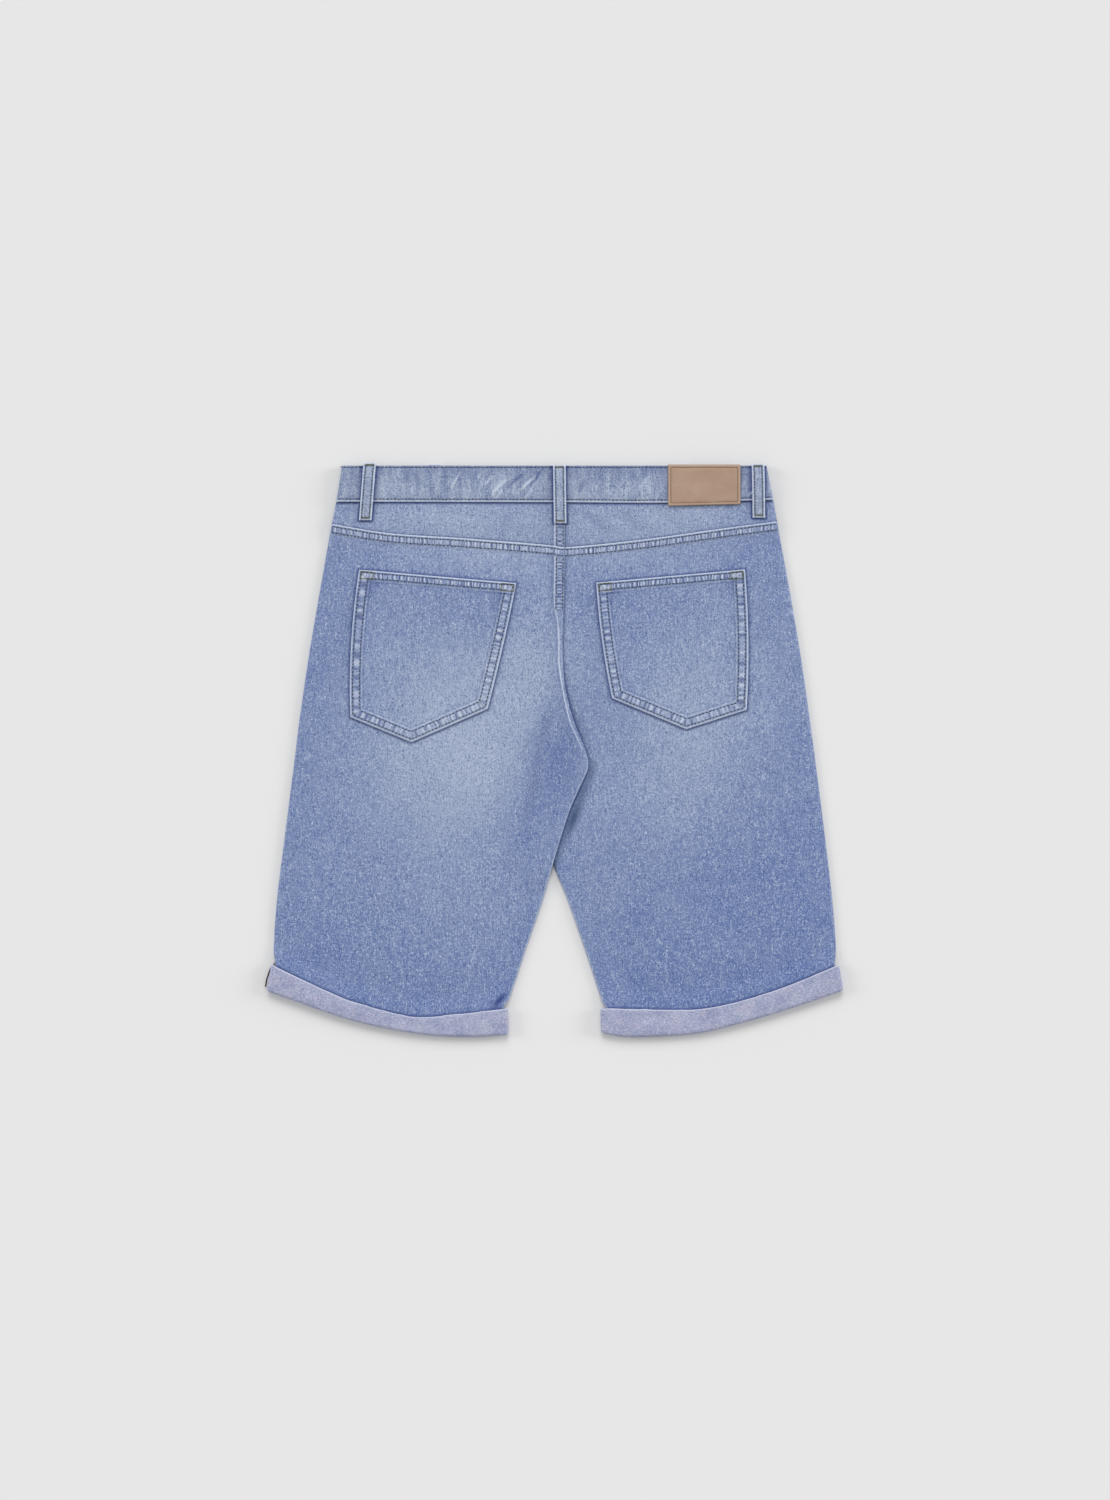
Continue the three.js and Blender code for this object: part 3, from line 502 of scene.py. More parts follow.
def wrong_side_material(name):
    """The wrong side of the twill on the turned-up hems: pale weft over little indigo."""
    s = Shader(name, roughness=0.94, sheen=0.1, specular=0.1)
    fine = s.noise(1.1, 0.8)
    coarse = s.noise(2.4, 0.6)
    cloud = s.noise(14, 0.8, detail=2.0)
    tint = s.noise(9, 1.0, detail=1.0)
    colour = s.mix(s.span(cloud, -0.9, 0.9), rgb(152, 158, 188), rgb(170, 174, 199))
    colour = s.mix(s.span(tint, 0.1, 1.2, 0.0, 0.5), colour, rgb(180, 168, 194))
    speck = s.total((fine, 0.8), (coarse, 0.6))
    colour = s.mix(s.span(speck, 0.0, 1.2, 0.0, 0.8), colour, rgb(210, 212, 226))
    colour = s.mix(s.span(speck, 0.0, -1.2, 0.0, 0.75), colour, rgb(106, 116, 158))
    colour = s.mix(s.times(s.field("shade"), 0.8), colour, rgb(96, 102, 146))
    colour = s.mix(s.field("light"), colour, rgb(206, 210, 226))
    return s.finish(colour, s.total((fine, 0.4), (coarse, 0.35)), 0.16)


def thread_material(name, colour, dark):
    s = Shader(name, roughness=0.6, sheen=0.1, specular=0.3)
    return s.finish(s.mix(s.span(s.noise(2.2), -0.9, 0.9), dark, colour), s.noise(0.35), 0.08)


def leather_material(name):
    s = Shader(name, roughness=0.62, specular=0.3)
    pores = s.noise(1.1, 1.0, detail=2.0)
    cloud = s.noise(16, 0.7, detail=2.0)
    colour = s.mix(s.span(cloud, -1.0, 1.0), rgb(168, 141, 121), rgb(177, 151, 132))
    colour = s.mix(s.span(pores, 0.2, 1.6, 0.0, 0.35), colour, rgb(158, 130, 110))
    colour = s.mix(s.times(s.field("shade"), 0.9), colour, rgb(128, 98, 78))
    colour = s.mix(s.field("light"), colour, rgb(206, 184, 164))
    return s.finish(colour, s.total((pores, 0.6)), 0.07)


def metal_material(name):
    s = Shader(name, roughness=0.36, specular=0.5, metallic=1.0)
    wear = s.noise(1.6, 1.0, detail=2.0)
    colour = s.mix(s.span(wear, -0.8, 1.0), rgb(118, 96, 70), rgb(176, 148, 110))
    return s.finish(colour, wear, 0.05)


DENIM = denim_material("denim_twill")
BAND_DENIM = denim_material("denim_waistband", rgb(88, 104, 150), rgb(174, 186, 205), streaks=1.2)
WRONG_SIDE = wrong_side_material("denim_wrong_side")
THREAD = thread_material("topstitch_thread", rgb(74, 80, 80), rgb(48, 57, 72))
BARTACK = thread_material("bartack_thread", rgb(122, 122, 96), rgb(84, 88, 76))
BLACK_THREAD = thread_material("overlock_thread", rgb(40, 42, 48), rgb(22, 24, 30))
PATCH_THREAD = thread_material("patch_thread", rgb(124, 92, 70), rgb(100, 74, 56))
LEATHER = leather_material("bare_leather")
METAL = metal_material("aged_brass")
TAPE = thread_material("zip_tape", rgb(104, 118, 150), rgb(70, 84, 120))


# How the wash lies on the cloth
# x, y, reach across, reach along, amount
FADES = [
    (-100, 5, 92, 105, 0.62), (-60, -20, 60, 80, 0.12), (-15, 90, 46, 70, 0.4), (-122, 95, 70, 60, 0.12),
    (146, 40, 74, 95, 0.46), (95, -40, 60, 70, 0.14), (60, 205, 70, 40, 0.3),
    (-110, 235, 110, 30, 0.52), (120, 235, 80, 26, 0.44), (-60, 195, 60, 24, 0.26),
    (-70, 130, 60, 34, -0.16), (-228, 150, 26, 90, -0.05), (2, -5, 26, 60, -0.42),
    (-38, -78, 30, 50, -0.24), (60, 150, 40, 30, -0.1), (240, -60, 36, 130, -0.04),
    (-100, -140, 90, 60, 0.1), (60, -130, 60, 60, 0.06), (-255, 20, 24, 120, -0.04),
]


def wash_at(x, y):
    wash = 0.3 - 0.12 * ramp(y, -60, -250) - 0.08 * ramp(x, 20, 260) * ramp(y, 60, -160)
    for cx, cy, across, along, amount in FADES:
        wash = wash + amount * np.exp(-((x - cx) / across) ** 2 - ((y - cy) / along) ** 2)
    return wash + 0.05 * lattice(x, y, 30, 11, 1.3) + 0.03 * lattice(x, y, 9, 12, 1.5)


def nearest_side(corners, x, y):
    """The distance to an outline, how far along it the nearest point is, and on which side."""
    best = np.full(np.shape(x), 1e9)
    along = np.zeros(np.shape(x))
    which = np.zeros(np.shape(x), int)
    passed = 0
    for k, ((ax, ay), (bx, by)) in enumerate(zip(corners, corners[1:] + corners[:1])):
        length = math.hypot(bx - ax, by - ay)
        t = np.clip(((x - ax) * (bx - ax) + (y - ay) * (by - ay)) / length ** 2, 0, 1)
        d = np.hypot(x - ax - t * (bx - ax), y - ay - t * (by - ay))
        along = np.where(d < best, passed + t * length, along)
        which = np.where(d < best, k, which)
        best = np.minimum(best, d)
        passed += length
    return best, along, which


def outline_distance(corners, x, y):
    """The distance to an outline, negative inside it."""
    inside = np.zeros(np.shape(x), bool)
    for (ax, ay), (bx, by) in zip(corners, corners[1:] + corners[:1]):
        with np.errstate(divide="ignore", invalid="ignore"):
            inside ^= ((ay > y) != (by > y)) & (x < (bx - ax) * (y - ay) / (by - ay) + ax)
    distance = nearest_side(corners, x, y)[0]
    return np.where(inside, -distance, distance)


BOW_POINTS = 13


def bowed(start, end, bow):
    """A side of a pocket as a row of points, from its upper corner down."""
    start, end = np.array(start, float), np.array(end, float)
    share = np.linspace(0, 1, BOW_POINTS)[:, None]
    return lerp(start, end, share) + np.array([bow, 0]) * 4 * share * (1 - share)


def pocket_sides(half):
    """The top, outer, inner and two lower sides of a pocket."""
    top_outer, top_inner, bottom_outer, bottom_inner, tip = POCKETS[half]
    outward, inward = POCKET_BOWS[half]
    s = INWARD[half]
    return {
        "top": np.array([top_outer, top_inner], float),
        "outer": bowed(top_outer, bottom_outer, -s * outward),
        "inner": bowed(top_inner, bottom_inner, s * inward),
        "low_outer": np.array([bottom_outer, tip], float),
        "low_inner": np.array([bottom_inner, tip], float),
    }


def pocket_outline(half):
    sides = pocket_sides(half)
    return [tuple(p) for p in (*sides["inner"], sides["low_inner"][1], *sides["outer"][::-1])]


def loop_outline(upper, lower, low, high):
    h = LOOP_WIDTH / 2
    return [(upper - h, high), (upper + h, high), (lower + h, low), (lower - h, low)]


FAR = 99.0


def covers(half, x, y):
    """How far the nearest piece is that lies on a back panel or yoke, and how dark the painted shadow along
    its edge is.
    """
    near = [(outline_distance(pocket_outline(half), x, y), 0.75), (band_seam(x) - y, 1.0),
            (y - cuff_top[half](x), 0.75), (np.where(y < yoke_seam(x), FAR, y - yoke_seam(x)), 0.45)]
    near += [(outline_distance(loop_outline(*loop[1:]), x, y), 1.0) for loop in LOOPS]
    if half == "right":
        beside = np.where(y > LENS_END_Y, x - left_inner(y), FAR)
        near.append((beside, 0.45 + 0.35 * bump(y - 40, 60) + 0.5 * bump(y + 50, 50)))
    distance, strength = FAR + 0 * x, 0 * x
    for d, k in near:
        strength = np.where(d < distance, k, strength)
        distance = np.minimum(d, distance)
    return np.maximum(distance, 0), strength


# Panels and yokes
CURL_ANGLES = np.radians([0, 15, 30, 45, 60, 75, 90])
PANEL_WIDTH = 240
# How wide the strips at a panel's sides are, whose columns follow the sides
OUTER_STRIP, INNER_STRIP = 5, 17
# y, how far from the lap's edge the worn ridge of the seat seam is, how pale it is
SEAT_RIDGE_ROWS = [
    (250, 10.2, 0.75), (190, 9.6, 0.8), (145, 9.2, 0.75), (130, 5.9, 0.8), (115, 3.8, 0.85), (88, 4, 0.9),
    (67, 2.8, 0.9), (46, 3.2, 0.85), (36, 3.9, 0.8), (25, 4.2, 0.8), (14, 3.4, 0.7), (6, 3.2, 0.5),
    (-6, 3, 0), (-30, 3, 0),
]
# The seat seam's two rows of stitches: how far in from the lap's edge, and the height where they end
SEAT_ROWS = (1.5, 8.0)
SEAT_ROWS_END = 140
# y, how far from the lap's edge the painted shadow beside it is, how dark it is
CROTCH_SHADE_ROWS = [
    (-6, 3, 0), (-14, 3.4, 0.35), (-24, 4, 0.45), (-38, 5.4, 0.5), (-52, 6.4, 0.62), (-68, 6.8, 0.95),
    (-78, 6, 0.7), (-92, 3, 0.4), (-105, 0.5, 0.55), (-118, 0, 0.7), (-130, 0, 0),
]
crotch_place = track(CROTCH_SHADE_ROWS, 1)
crotch_dark = track(CROTCH_SHADE_ROWS, 2)
ridge_place = track(SEAT_RIDGE_ROWS, 1)
ridge_light = track(SEAT_RIDGE_ROWS, 2)


# Creases drawn only in colour, pale as a painted highlight and dark as painted shade: from x, from y, to x,
# to y, half width, how pale (or, below 0, how dark)
CREASE_LINES = [
    (226, 151, 240, 149, 1.6, 0.3), (226, 144.5, 241, 143, 1.8, -0.35), (227, 138, 241, 137, 1.6, 0.3),
    (-75.5, -176, -93, -258, 3, 0.22), (-71, -176, -88, -258, 3, -0.2), (-46, -240, -64, -259, 5, -1.1),
    (48, -205, 74, -258, 2.4, 0.3), (109.5, -196, 114, -238, 3, 0.22), (115, -196, 119, -238, 3, -0.16),
    (-150, -226, -158, -262, 3, 0.2), (-196, -214, -203, -244, 3, 0.2), (165, -222, 170, -250, 3, 0.2),
    (214, -198, 220, -232, 3, 0.18), (-18, 22, -42, -20, 3, -0.2), (-26, 8, -52, -52, 3, 0.16),
]


def edge_rest(half, x, y):
    """What the free edge of a back panel rests on."""
    under = CLOTH + front_lift(half, x, y) + SEAM_GAP
    if half == "right":
        return under
    at_inner = np.abs(x - left_inner(y)) < 1
    return np.where(x < 0, under + np.where(at_inner, climb(x, y), 0), CLOTH + OVER_LIFT + SEAM_GAP)


def raised(curve, by):
    return lambda x: curve(x) + by


def between(low, high, shares):
    """Rows that are shares of the way between two curves."""
    return lambda x: lerp(low(x), high(x), shares)


def settle(column, rows, like):
    """Where a column, x as a function of y, crosses rows, y as a function of x. Both are nearly
    straight, so going back and forth finds it."""
    x = np.zeros_like(like)
    for _ in range(12):
        y = rows(x)
        x = column(y)
    return x, y


def panel_fields(half, x, y):
    """The wash, wear, gathers, painted shade and painted highlights of a back panel or yoke."""
    cover, covered = covers(half, x, y)
    shade, light, ladder, gloom = np.zeros((4, *x.shape))
    side = np.abs(x - outer_side[half](y))
    light += 0.2 * bump(side - 1.0, 3) * (lattice(x, y, 12, 21, 2) * 0.5 + 0.5)
    if half == "left":
        inner = left_inner(y) - x
        light += ridge_light(y) * bump(inner - ridge_place(y), 1.15)
        shade += 0.3 * bump(inner - ridge_place(y) - 2.2, 2.2) * ramp(y, -4, 40)
        ladder += 0.75 * smooth(inner, SEAT_ROWS[0], 3) * smooth(inner, SEAT_ROWS[1], 6.5) * ramp(y, 128, 142)
        light += 0.35 * bump(inner - 0.8, 1.6) * ramp(y, 10, -20)
        shade += 0.2 * np.exp(-((x - 4) / 26) ** 2 - ((y + 8) / 42) ** 2)
    else:
        beside = x - left_inner(y)
        # Painted grey shadow that the left leg's raised edge casts on the right leg
        gloom += crotch_dark(y) * bump(beside - crotch_place(y), 8.5)
        # Painted shade beside the lap's edge on the seat
        shade += 0.3 * smooth(beside, 7, 0) * bump(y - 45, 60)
        light += 0.3 * bump(x - right_inner(y) - 1.0, 2) * ramp(y, -118, -135)
    above_cuff = y - cuff_top[half](x)
    # Painted shade on the leg just above the hem, made uneven
    shade += 0.16 * smooth(above_cuff, 16, 0) * (0.6 + 0.6 * lattice(x, y, 7, 22, 3))
    # Raised folds get a painted highlight and sunken ones painted shade, as do the crease lines
    creases = [(*line, width, max(height, 0) * 0.1, max(-height, 0) * 0.3)
               for *line, height, width in FOLDS[half]]
    creases += [(*line, max(amount, 0), max(-amount, 0)) for *line, amount in CREASE_LINES]
    for *line, pale, dark in creases:
        mark = stroke(*line, x, y)
        light += pale * mark
        shade += dark * mark
    return {"wash": wash_at(x, y), "light": light, "shade": shade, "cover": cover, "covered": covered,
            "along": y, "ladder": ladder, "gloom": gloom}


def skin(half, x, y):
    """A back panel's outer face with its curled outer side."""
    side = np.abs(x - outer_side[half](y))
    cosine = 1 - np.clip(side / FOLD_REACH, 0, 1)
    drop = 1 - np.sqrt(np.clip(1 - cosine ** 2, 0, 1))
    top = panel_face(half, x, y)
    return top - drop * (top - edge_rest(half, x, y))


def panel(name, half, shares, low, high, spacing):
    """A back panel or yoke: a wall whose free sides curl under, with closer columns by the seat seam."""
    s = INWARD[half]
    rows = between(low, high, shares)
    edge = {"outer": outer_side[half], "inner": inner_side[half]}
    way = {"outer": s, "inner": -s}
    curl = {"outer": np.ones_like, "inner": seat_curl if half == "left" else right_curl}

    def inset(side, depth):
        return settle(lambda y: edge[side](y) + way[side] * depth, rows, shares)

    def flat(x, y):
        top = panel_face(half, x, y)
        return xyz(x, y, top), xyz(x, y, top - CLOTH)

    def curled(side, angle):
        spread = 1 - math.cos(angle)
        x, y = inset(side, FOLD_REACH * spread)
        amount = curl[side](y)
        qx, qy = inset(side, amount * CLOTH + (FOLD_REACH - amount * CLOTH) * spread)
        top = panel_face(half, *inset(side, FOLD_REACH))
        rest = edge_rest(half, *inset(side, 0))
        drop = amount * (1 - math.sin(angle))
        return xyz(x, y, top - drop * (top - rest)), xyz(qx, qy, top - CLOTH - drop * (top - CLOTH - rest))

    def across(share):
        outer, inner = OUTER_STRIP, INNER_STRIP
        return settle(lambda y: lerp(edge["outer"](y) + s * outer, edge["inner"](y) - s * inner, share),
                      rows, shares)

    columns = [curled("outer", angle) for angle in CURL_ANGLES]
    columns += [flat(*across(share)) for share in np.linspace(0, 1, int(PANEL_WIDTH / spacing))]
    columns += [flat(*inset("inner", depth)) for depth in np.arange(15, 3.3, -0.6)]
    columns += [curled("inner", angle) for angle in CURL_ANGLES[::-1]]
    outer, inner = (np.stack(side, 1) for side in zip(*columns))
    return shell(name, outer, inner, DENIM, panel_fields(half, outer[..., 0], outer[..., 1]))


def back_panel(half):
    spacing = 2.3
    body = np.linspace(0.01, 0.985, int(470 / spacing))
    shares = np.concatenate([[0, 0.002, 0.005], body, [0.99, 0.995, 1.0]])
    low = raised(cuff_bottom[half], LEG_END)
    return panel(f"back_{half}_cloth", half, shares, low, yoke_seam, spacing)


def yoke(half):
    low, high = raised(yoke_seam, SEAM_GAP), raised(band_seam, -SEAM_GAP)
    return panel(f"yoke_{half}_cloth", half, np.linspace(0, 1, 22), low, high, spacing=1.6)


def front_panel(half):
    """A front panel, flat on the surface. The left one has closer columns where it climbs."""
    def inner_edge(y):
        if half == "right":
            return centre_front(y)
        return np.where(y > CROTCH_Y - 1, centre_front(y) - SEAM_GAP, left_inner(y))

    def body_edge(y):
        if half == "right":
            return inner_edge(y) + 20
        return np.minimum(left_inner(y), right_inner(y)) - 22

    columns = [lambda y, t=t: lerp(outer_side[half](y), body_edge(y), t) for t in np.linspace(0, 1, 60)]
    if half == "left":
        for clear, inset in ((9, 5), (5.5, 3), (2, 1.5)):
            columns.append(lambda y, c=clear, i=inset: np.minimum(right_inner(y) - c, inner_edge(y) - i))
    else:
        columns.append(raised(inner_edge, 10))
    columns.append(inner_edge)
    shares = np.linspace(0, 1, 150)
    rows = between(raised(cuff_bottom[half], LEG_END), raised(band_seam, -SEAM_GAP), shares)
    x, y = np.stack([np.stack(settle(column, rows, shares)) for column in columns], -1)
    under = front_lift(half, x, y) + (climb(x, y) if half == "left" else 0)
    aside = np.abs(x - lerp(outer_side[half](y), inner_edge(y), 0.5)) / 120
    wash = 0.28 + 0.5 * np.exp(-aside ** 2 * 2) * np.exp(-((y - 20) / 140) ** 2)
    wash = wash + 0.05 * lattice(x, y, 25, 31)
    light = 0.35 * bump(np.abs(x - inner_edge(y)) - 1, 1.6) * ramp(y, CROTCH_Y, 20)
    fields = {"wash": wash, "light": light, "shade": 0}
    return slab(f"front_{half}_cloth", x, y, under, under + CLOTH, DENIM, fields)


# The double-stitched seam at the yoke
# Its two rows of stitches, as depths below its upper edge
BAND_ROWS_AT = (2.6, 8.5)


def stitched_profile(d, first, second):
    """The height of a stitched band d mm in from its edge: thick between its rows, sunk along them."""
    thick = HEM_EXTRA * smooth(d, -0.1, 0.9) * smooth(d, second + 2.4, second + 0.4)
    return thick - 0.28 * bump(d - first, 1.1) - 0.3 * bump(d - second, 1.2)


def stitched_fields(d, along, first, second, seed):
    """Worn edge, sunk rows and the gathers between them, with painted shade along the rows and on the cloth
    just past the band.
    """
    patchy = 0.5 + 0.5 * lattice(along, 0 * along, 13, seed)
    between = smooth(d, first + 0.2, first + 1.2) * smooth(d, second - 0.2, second - 1.2)
    light = (0.8 + 0.2 * patchy) * bump(d - 0.65, 1.15) + 0.16 * between + 0.3 * bump(d - second - 1.9, 1.1)
    shade = 0.42 * bump(d - first, 0.9) + 0.42 * bump(d - second, 0.9) + 0.28 * bump(d - second - 3.4, 1.6)
    return light, shade, between * (0.75 + 0.45 * patchy)


def along_yoke_seam(half, depth, share, margin, past):
    """Places a depth below the yoke seam's edge and a share of the way to the seat seam."""
    def column(y):
        return lerp(outer_side[half](y) + INWARD[half] * margin, left_inner(y) + past[half], share)
    return settle(column, lambda x: yoke_seam(x) + 0.5 - depth, depth + 0.0 * share)


def yoke_band(half):
    """The felled seam, a strip that lies on the back panel's upper border."""
    depths = np.concatenate([[0, 0.25], np.arange(0.6, 11.4, 0.6)])[:, None]
    shares = np.linspace(0, 1, int(235 / 0.8))[None]
    x, y = along_yoke_seam(half, depths, shares, 0.6, {"left": -0.1, "right": 0.4})
    d = depths + 0 * x
    light, shade, ladder = stitched_fields(d, np.abs(x), *BAND_ROWS_AT, 41)
    ladder = ladder + 0.35 * (ladder > 0) * (bump(x - 35, 14) + bump(x + 42, 14))
    rest = skin(half, x, y)
    top = rest + stitched_profile(d, *BAND_ROWS_AT) - 0.5 * smooth(d, 10.2, 11.2)
    fields = {"wash": wash_at(x, y) + 0.05, "light": light, "shade": shade, "along": x, "ladder": ladder}
    return slab(f"yoke_seam_{half}", x, y, top, rest - 0.6, DENIM, fields)


# The waistband
# The waistband's wrinkles: from x, from y, to x, to y, height, half width
BAND_WRINKLES = [
    (-66, 253, -44, 274, 0.7, 3.2), (-52, 258, -30, 277, -0.6, 3), (-38, 256, -16, 276, 0.7, 2.6),
    (-72, 262, -60, 276, 0.5, 3), (-26, 262, -12, 281, -0.6, 3), (-104, 262, -92, 280, 0.4, 2.6),
    (-60, 250, -50, 262, 0.5, 2.4), (-30, 250, -20, 266, 0.4, 2.4), (194, 262, 207, 272, 0.5, 2.4),
    (190, 252, 204, 262, 0.5, 2.2), (82, 258, 96, 276, 0.4, 3), (22, 252, 30, 274, -0.4, 3),
]
# Its rows of stitches, in from its upper and its lower edge
BAND_UPPER_ROW, BAND_LOWER_ROW = 1.8, 2.8


def band_relief(x, y):
    """The puckers above the waistband's lower seam, with its wrinkles."""
    share = (y - band_seam(x)) / (BAND_TOP_Y - band_seam(x))
    lobes = 0
    for at, height, width in PUCKERS:
        lean = at + 3.0 * (share - 0.36) * math.sin(at * 1.7)
        lobes = np.maximum(lobes, height * np.cos(np.pi / 2 * np.clip(np.abs(x - lean) / width, 0, 1)))
    part = np.interp(share, [0, 0.1, 0.36, 0.75, 1], [0, 0.6, 1, 0.4, 0])
    relief = lobes * part + 0.22 * lattice(x, y, 3.4, 51, 5) * part + 0.12 * lattice(x, y, 1.9, 52, 4)
    return relief + band_wrinkles(x, y)


def band_wrinkles(x, y):
    return sum(height * stroke(*line, width, x, y) for *line, height, width in BAND_WRINKLES)


def band_edges(x, y):
    low = y - band_seam(x)
    high = BAND_TOP_Y - y
    roll = 0.35 * bump(low - 0.9, 1.3) - 0.35 * bump(low - BAND_LOWER_ROW, 1.1) - 0.7 * smooth(low, 0.7, 0)
    return roll - 0.3 * bump(high - BAND_UPPER_ROW, 1.0) - 0.6 * smooth(high, 0.8, 0)


def band_face(x, y):
    return BAND_TOP + band_relief(x, y) * 0.9 + band_edges(x, y)


def band_path():
    """The waistband's columns round the waist: run, half, and a share of the run or an angle."""
    turn = np.radians(np.arange(-80, 90, 16))
    path = [("front", "left", share) for share in np.linspace(0, 1, 60)]
    path += [("side", "left", angle) for angle in turn]
    path += [("back", "left", share) for share in np.linspace(0, 1, int(434 / 1.1))]
    path += [("side", "right", angle) for angle in turn[::-1]]
    return path + [("front", "right", share) for share in np.linspace(1, 0, 60)]


def band_fields(x, y, back):
    """The waistband's wear, painted highlights and painted shade, most of them only on the back."""
    relief = band_relief(x, y) * back
    wrinkles = band_wrinkles(x, y) * back
    low, high = y - band_seam(x), BAND_TOP_Y - y
    share = low / (BAND_TOP_Y - band_seam(x))
    # Worn lower edge, and pale pucker tops that are partly wear, partly painted highlight
    light = 0.95 * bump(low - 0.75, 1.1) + 0.22 * np.clip(relief - 0.25, 0, 1)
    # Painted highlight on the wrinkles' ridges
    light += 0.7 * np.clip(wrinkles, 0, 1)
    shade = 0.4 * bump(low - BAND_LOWER_ROW, 1.0) + 0.4 * bump(high - BAND_UPPER_ROW, 1.3)
    # Painted shade in the valleys between the puckers, partly unfaded indigo, and in the wrinkles' troughs
    shade += 0.4 * np.clip(0.26 - relief, 0, 1) * smooth(share, 0.25, 0.85) * back
    shade += 0.7 * np.clip(-wrinkles, 0, 1)
    # Painted shadow beside the belt loops, and round the patch
    for loop in LOOPS:
        d = outline_distance(loop_outline(*loop[1:]), x, y)
        shade += np.where(d > 0, 0.5 * smooth(d, 5.5, 0) + 0.55 * smooth(d, 2.6, 0), 0) * back
    shade += 0.35 * smooth(np.abs(outline_distance(PATCH_OUTLINE, x, y)), 2.0, 0) * back
    # Paler on the pucker tops: partly wear, partly painted highlight
    wash = 0.54 + 0.12 * lattice(x, y, 18, 53) + 0.26 * relief - 0.09 * smooth(share, 0.5, 0.8) * back
    wash = wash + 0.16 * lattice(x, y, 2.3, 54, 6) + 0.1 * lattice(x, y, 1.3, 55, 5)
    return {"wash": wash, "light": light, "shade": shade}


def waistband():
    radius = (BAND_TOP - WAIST_LIFT) / 2
    middle = WAIST_LIFT + radius
    shares = np.concatenate([[0, 0.008, 0.02, 0.035, 0.05, 0.065, 0.085], np.linspace(0.11, 0.93, 27),
                             [0.95, 0.965, 0.98, 0.992, 1]])
    rows = between(band_seam, lambda x: BAND_TOP_Y, shares)

    def turn(half, y):
        return outer_side[half](y) + INWARD[half] * radius

    def column(r, run, half, value):
        """One column of the face that lies r from the middle of the turned sides."""
        if run == "front":
            z = middle - r
            x_of_y = lambda y: lerp(centre_front(y) - INWARD[half] * SEAM_GAP / 2, turn(half, y), value)
        elif run == "side":
            z = middle + r * math.sin(value)
            x_of_y = lambda y: turn(half, y) - INWARD[half] * r * math.cos(value)
        else:
            z = middle + r
            x_of_y = lambda y: lerp(turn("left", y), turn("right", y), value)
        x, y = settle(x_of_y, rows, shares)
        if r == radius and run == "back":
            z = band_face(x, y)
        elif r == radius and run == "side":
            z = z + band_edges(x, y) * math.sin(value)
        return xyz(x, y, z)

    outer, inner = (np.stack([column(r, *place) for place in band_path()], 1)
                    for r in (radius, radius - BAND_WALL))
    x, y, z = np.moveaxis(outer, -1, 0)
    return shell("waistband_cloth", outer, inner, BAND_DENIM, band_fields(x, y, z > middle))


# Turned-up hems
def cuff(half):
    """One hem all round the leg."""
    outer_top, outer_bottom, inner_top, inner_bottom = CUFF_ENDS[half]
    s = INWARD[half]
    radius = CUFF_HEIGHT / 2
    angles = np.radians(np.arange(75, -76, -15))
    path = [("back", share, math.pi / 2) for share in np.linspace(0, 1, 170)]
    path += [("inner", 0, angle) for angle in angles]
    path += [("front", share, -math.pi / 2) for share in np.linspace(1, 0, 85)]
    path += [("outer", 0, angle) for angle in angles[::-1]]
    # share of the height, how far the outer face is pulled in, how far the inner face reaches in
    profile = [(0, 2.3, 1.5), (0.012, 1.5, 1.5), (0.035, 0.9, 1.5), (0.065, 0.45, 0.4), (0.1, 0.15, 0)]
    profile += [(0.15, 0, 0)] + [(share, 0, 0) for share in np.linspace(0.2, 0.9, 16)]
    profile += [(0.93, 0.05, 0), (0.955, 0.12, 0), (0.975, 0.3, 0), (0.99, 0.6, 0), (1.0, 1.2, 0)]
    shares, slim, hook = (np.array(column) for column in zip(*profile))
    outer_end = lerp(outer_bottom, outer_top, shares)
    inner_end = lerp(inner_bottom, inner_top, shares)

    def column(run, share, angle, depth):
        """A column of the face that lies a depth inside the hem's fullest form."""
        reach = radius - (radius - depth) * math.cos(angle)
        x = {"outer": outer_end + s * reach, "inner": inner_end - s * reach}.get(
            run, lerp(outer_end + s * radius, inner_end - s * radius, share))
        y = lerp(cuff_bottom[half](x), cuff_top[half](x), shares)
        return x, y, radius + (radius - depth) * math.sin(angle)

    outer, inner = [], []
    for place in path:
        x, y, z = column(*place, slim)
        if place[0] == "back":
            wave = 0.28 * lattice(x, y, 11, 61, 0.9) + 0.16 * lattice(x, y, 4, 62, 2.2)
            z = z + wave * smooth(shares, 0, 0.2) - 0.5 + 0.9 * shares * (1 - shares) * 2.2
            y = y + 0.5 * lattice(x, 0 * x, 9, 63) * smooth(shares, 0.6, 1)
        outer.append(xyz(x, y, z))
        inner.append(xyz(*column(*place, CUFF_WALL + hook)))
    outer, inner = np.stack(outer, 1), np.stack(inner, 1)
    x, y, z = np.moveaxis(outer, -1, 0)
    share = shares[:, None]
    light = 0.75 * bump(share - 0.985, 0.04) + 0.1 * np.clip(lattice(x, y, 8, 64), 0, 1)
    shade = 0.1 * smooth(share, 0.2, 0) + 0.16 * np.clip(lattice(x, y, 13, 65), 0, 1)
    fields = {"light": light, "shade": np.where(z > radius, shade, 0.1)}
    return shell(f"cuff_{half}_cloth", outer, inner, WRONG_SIDE, fields, ring=True)


# Pockets
# The rows of stitches along a pocket's mouth and its other sides, in from the edge
POCKET_ROWS = {"top": (2.4, 8.0), "side": (2.9, 9.9)}
# How much wider apart the gathers of the outer and the inner sides are than those of the top
SIDE_GATHERS = {"left": (3.4, 1.6), "right": (2.4, 1.6)}


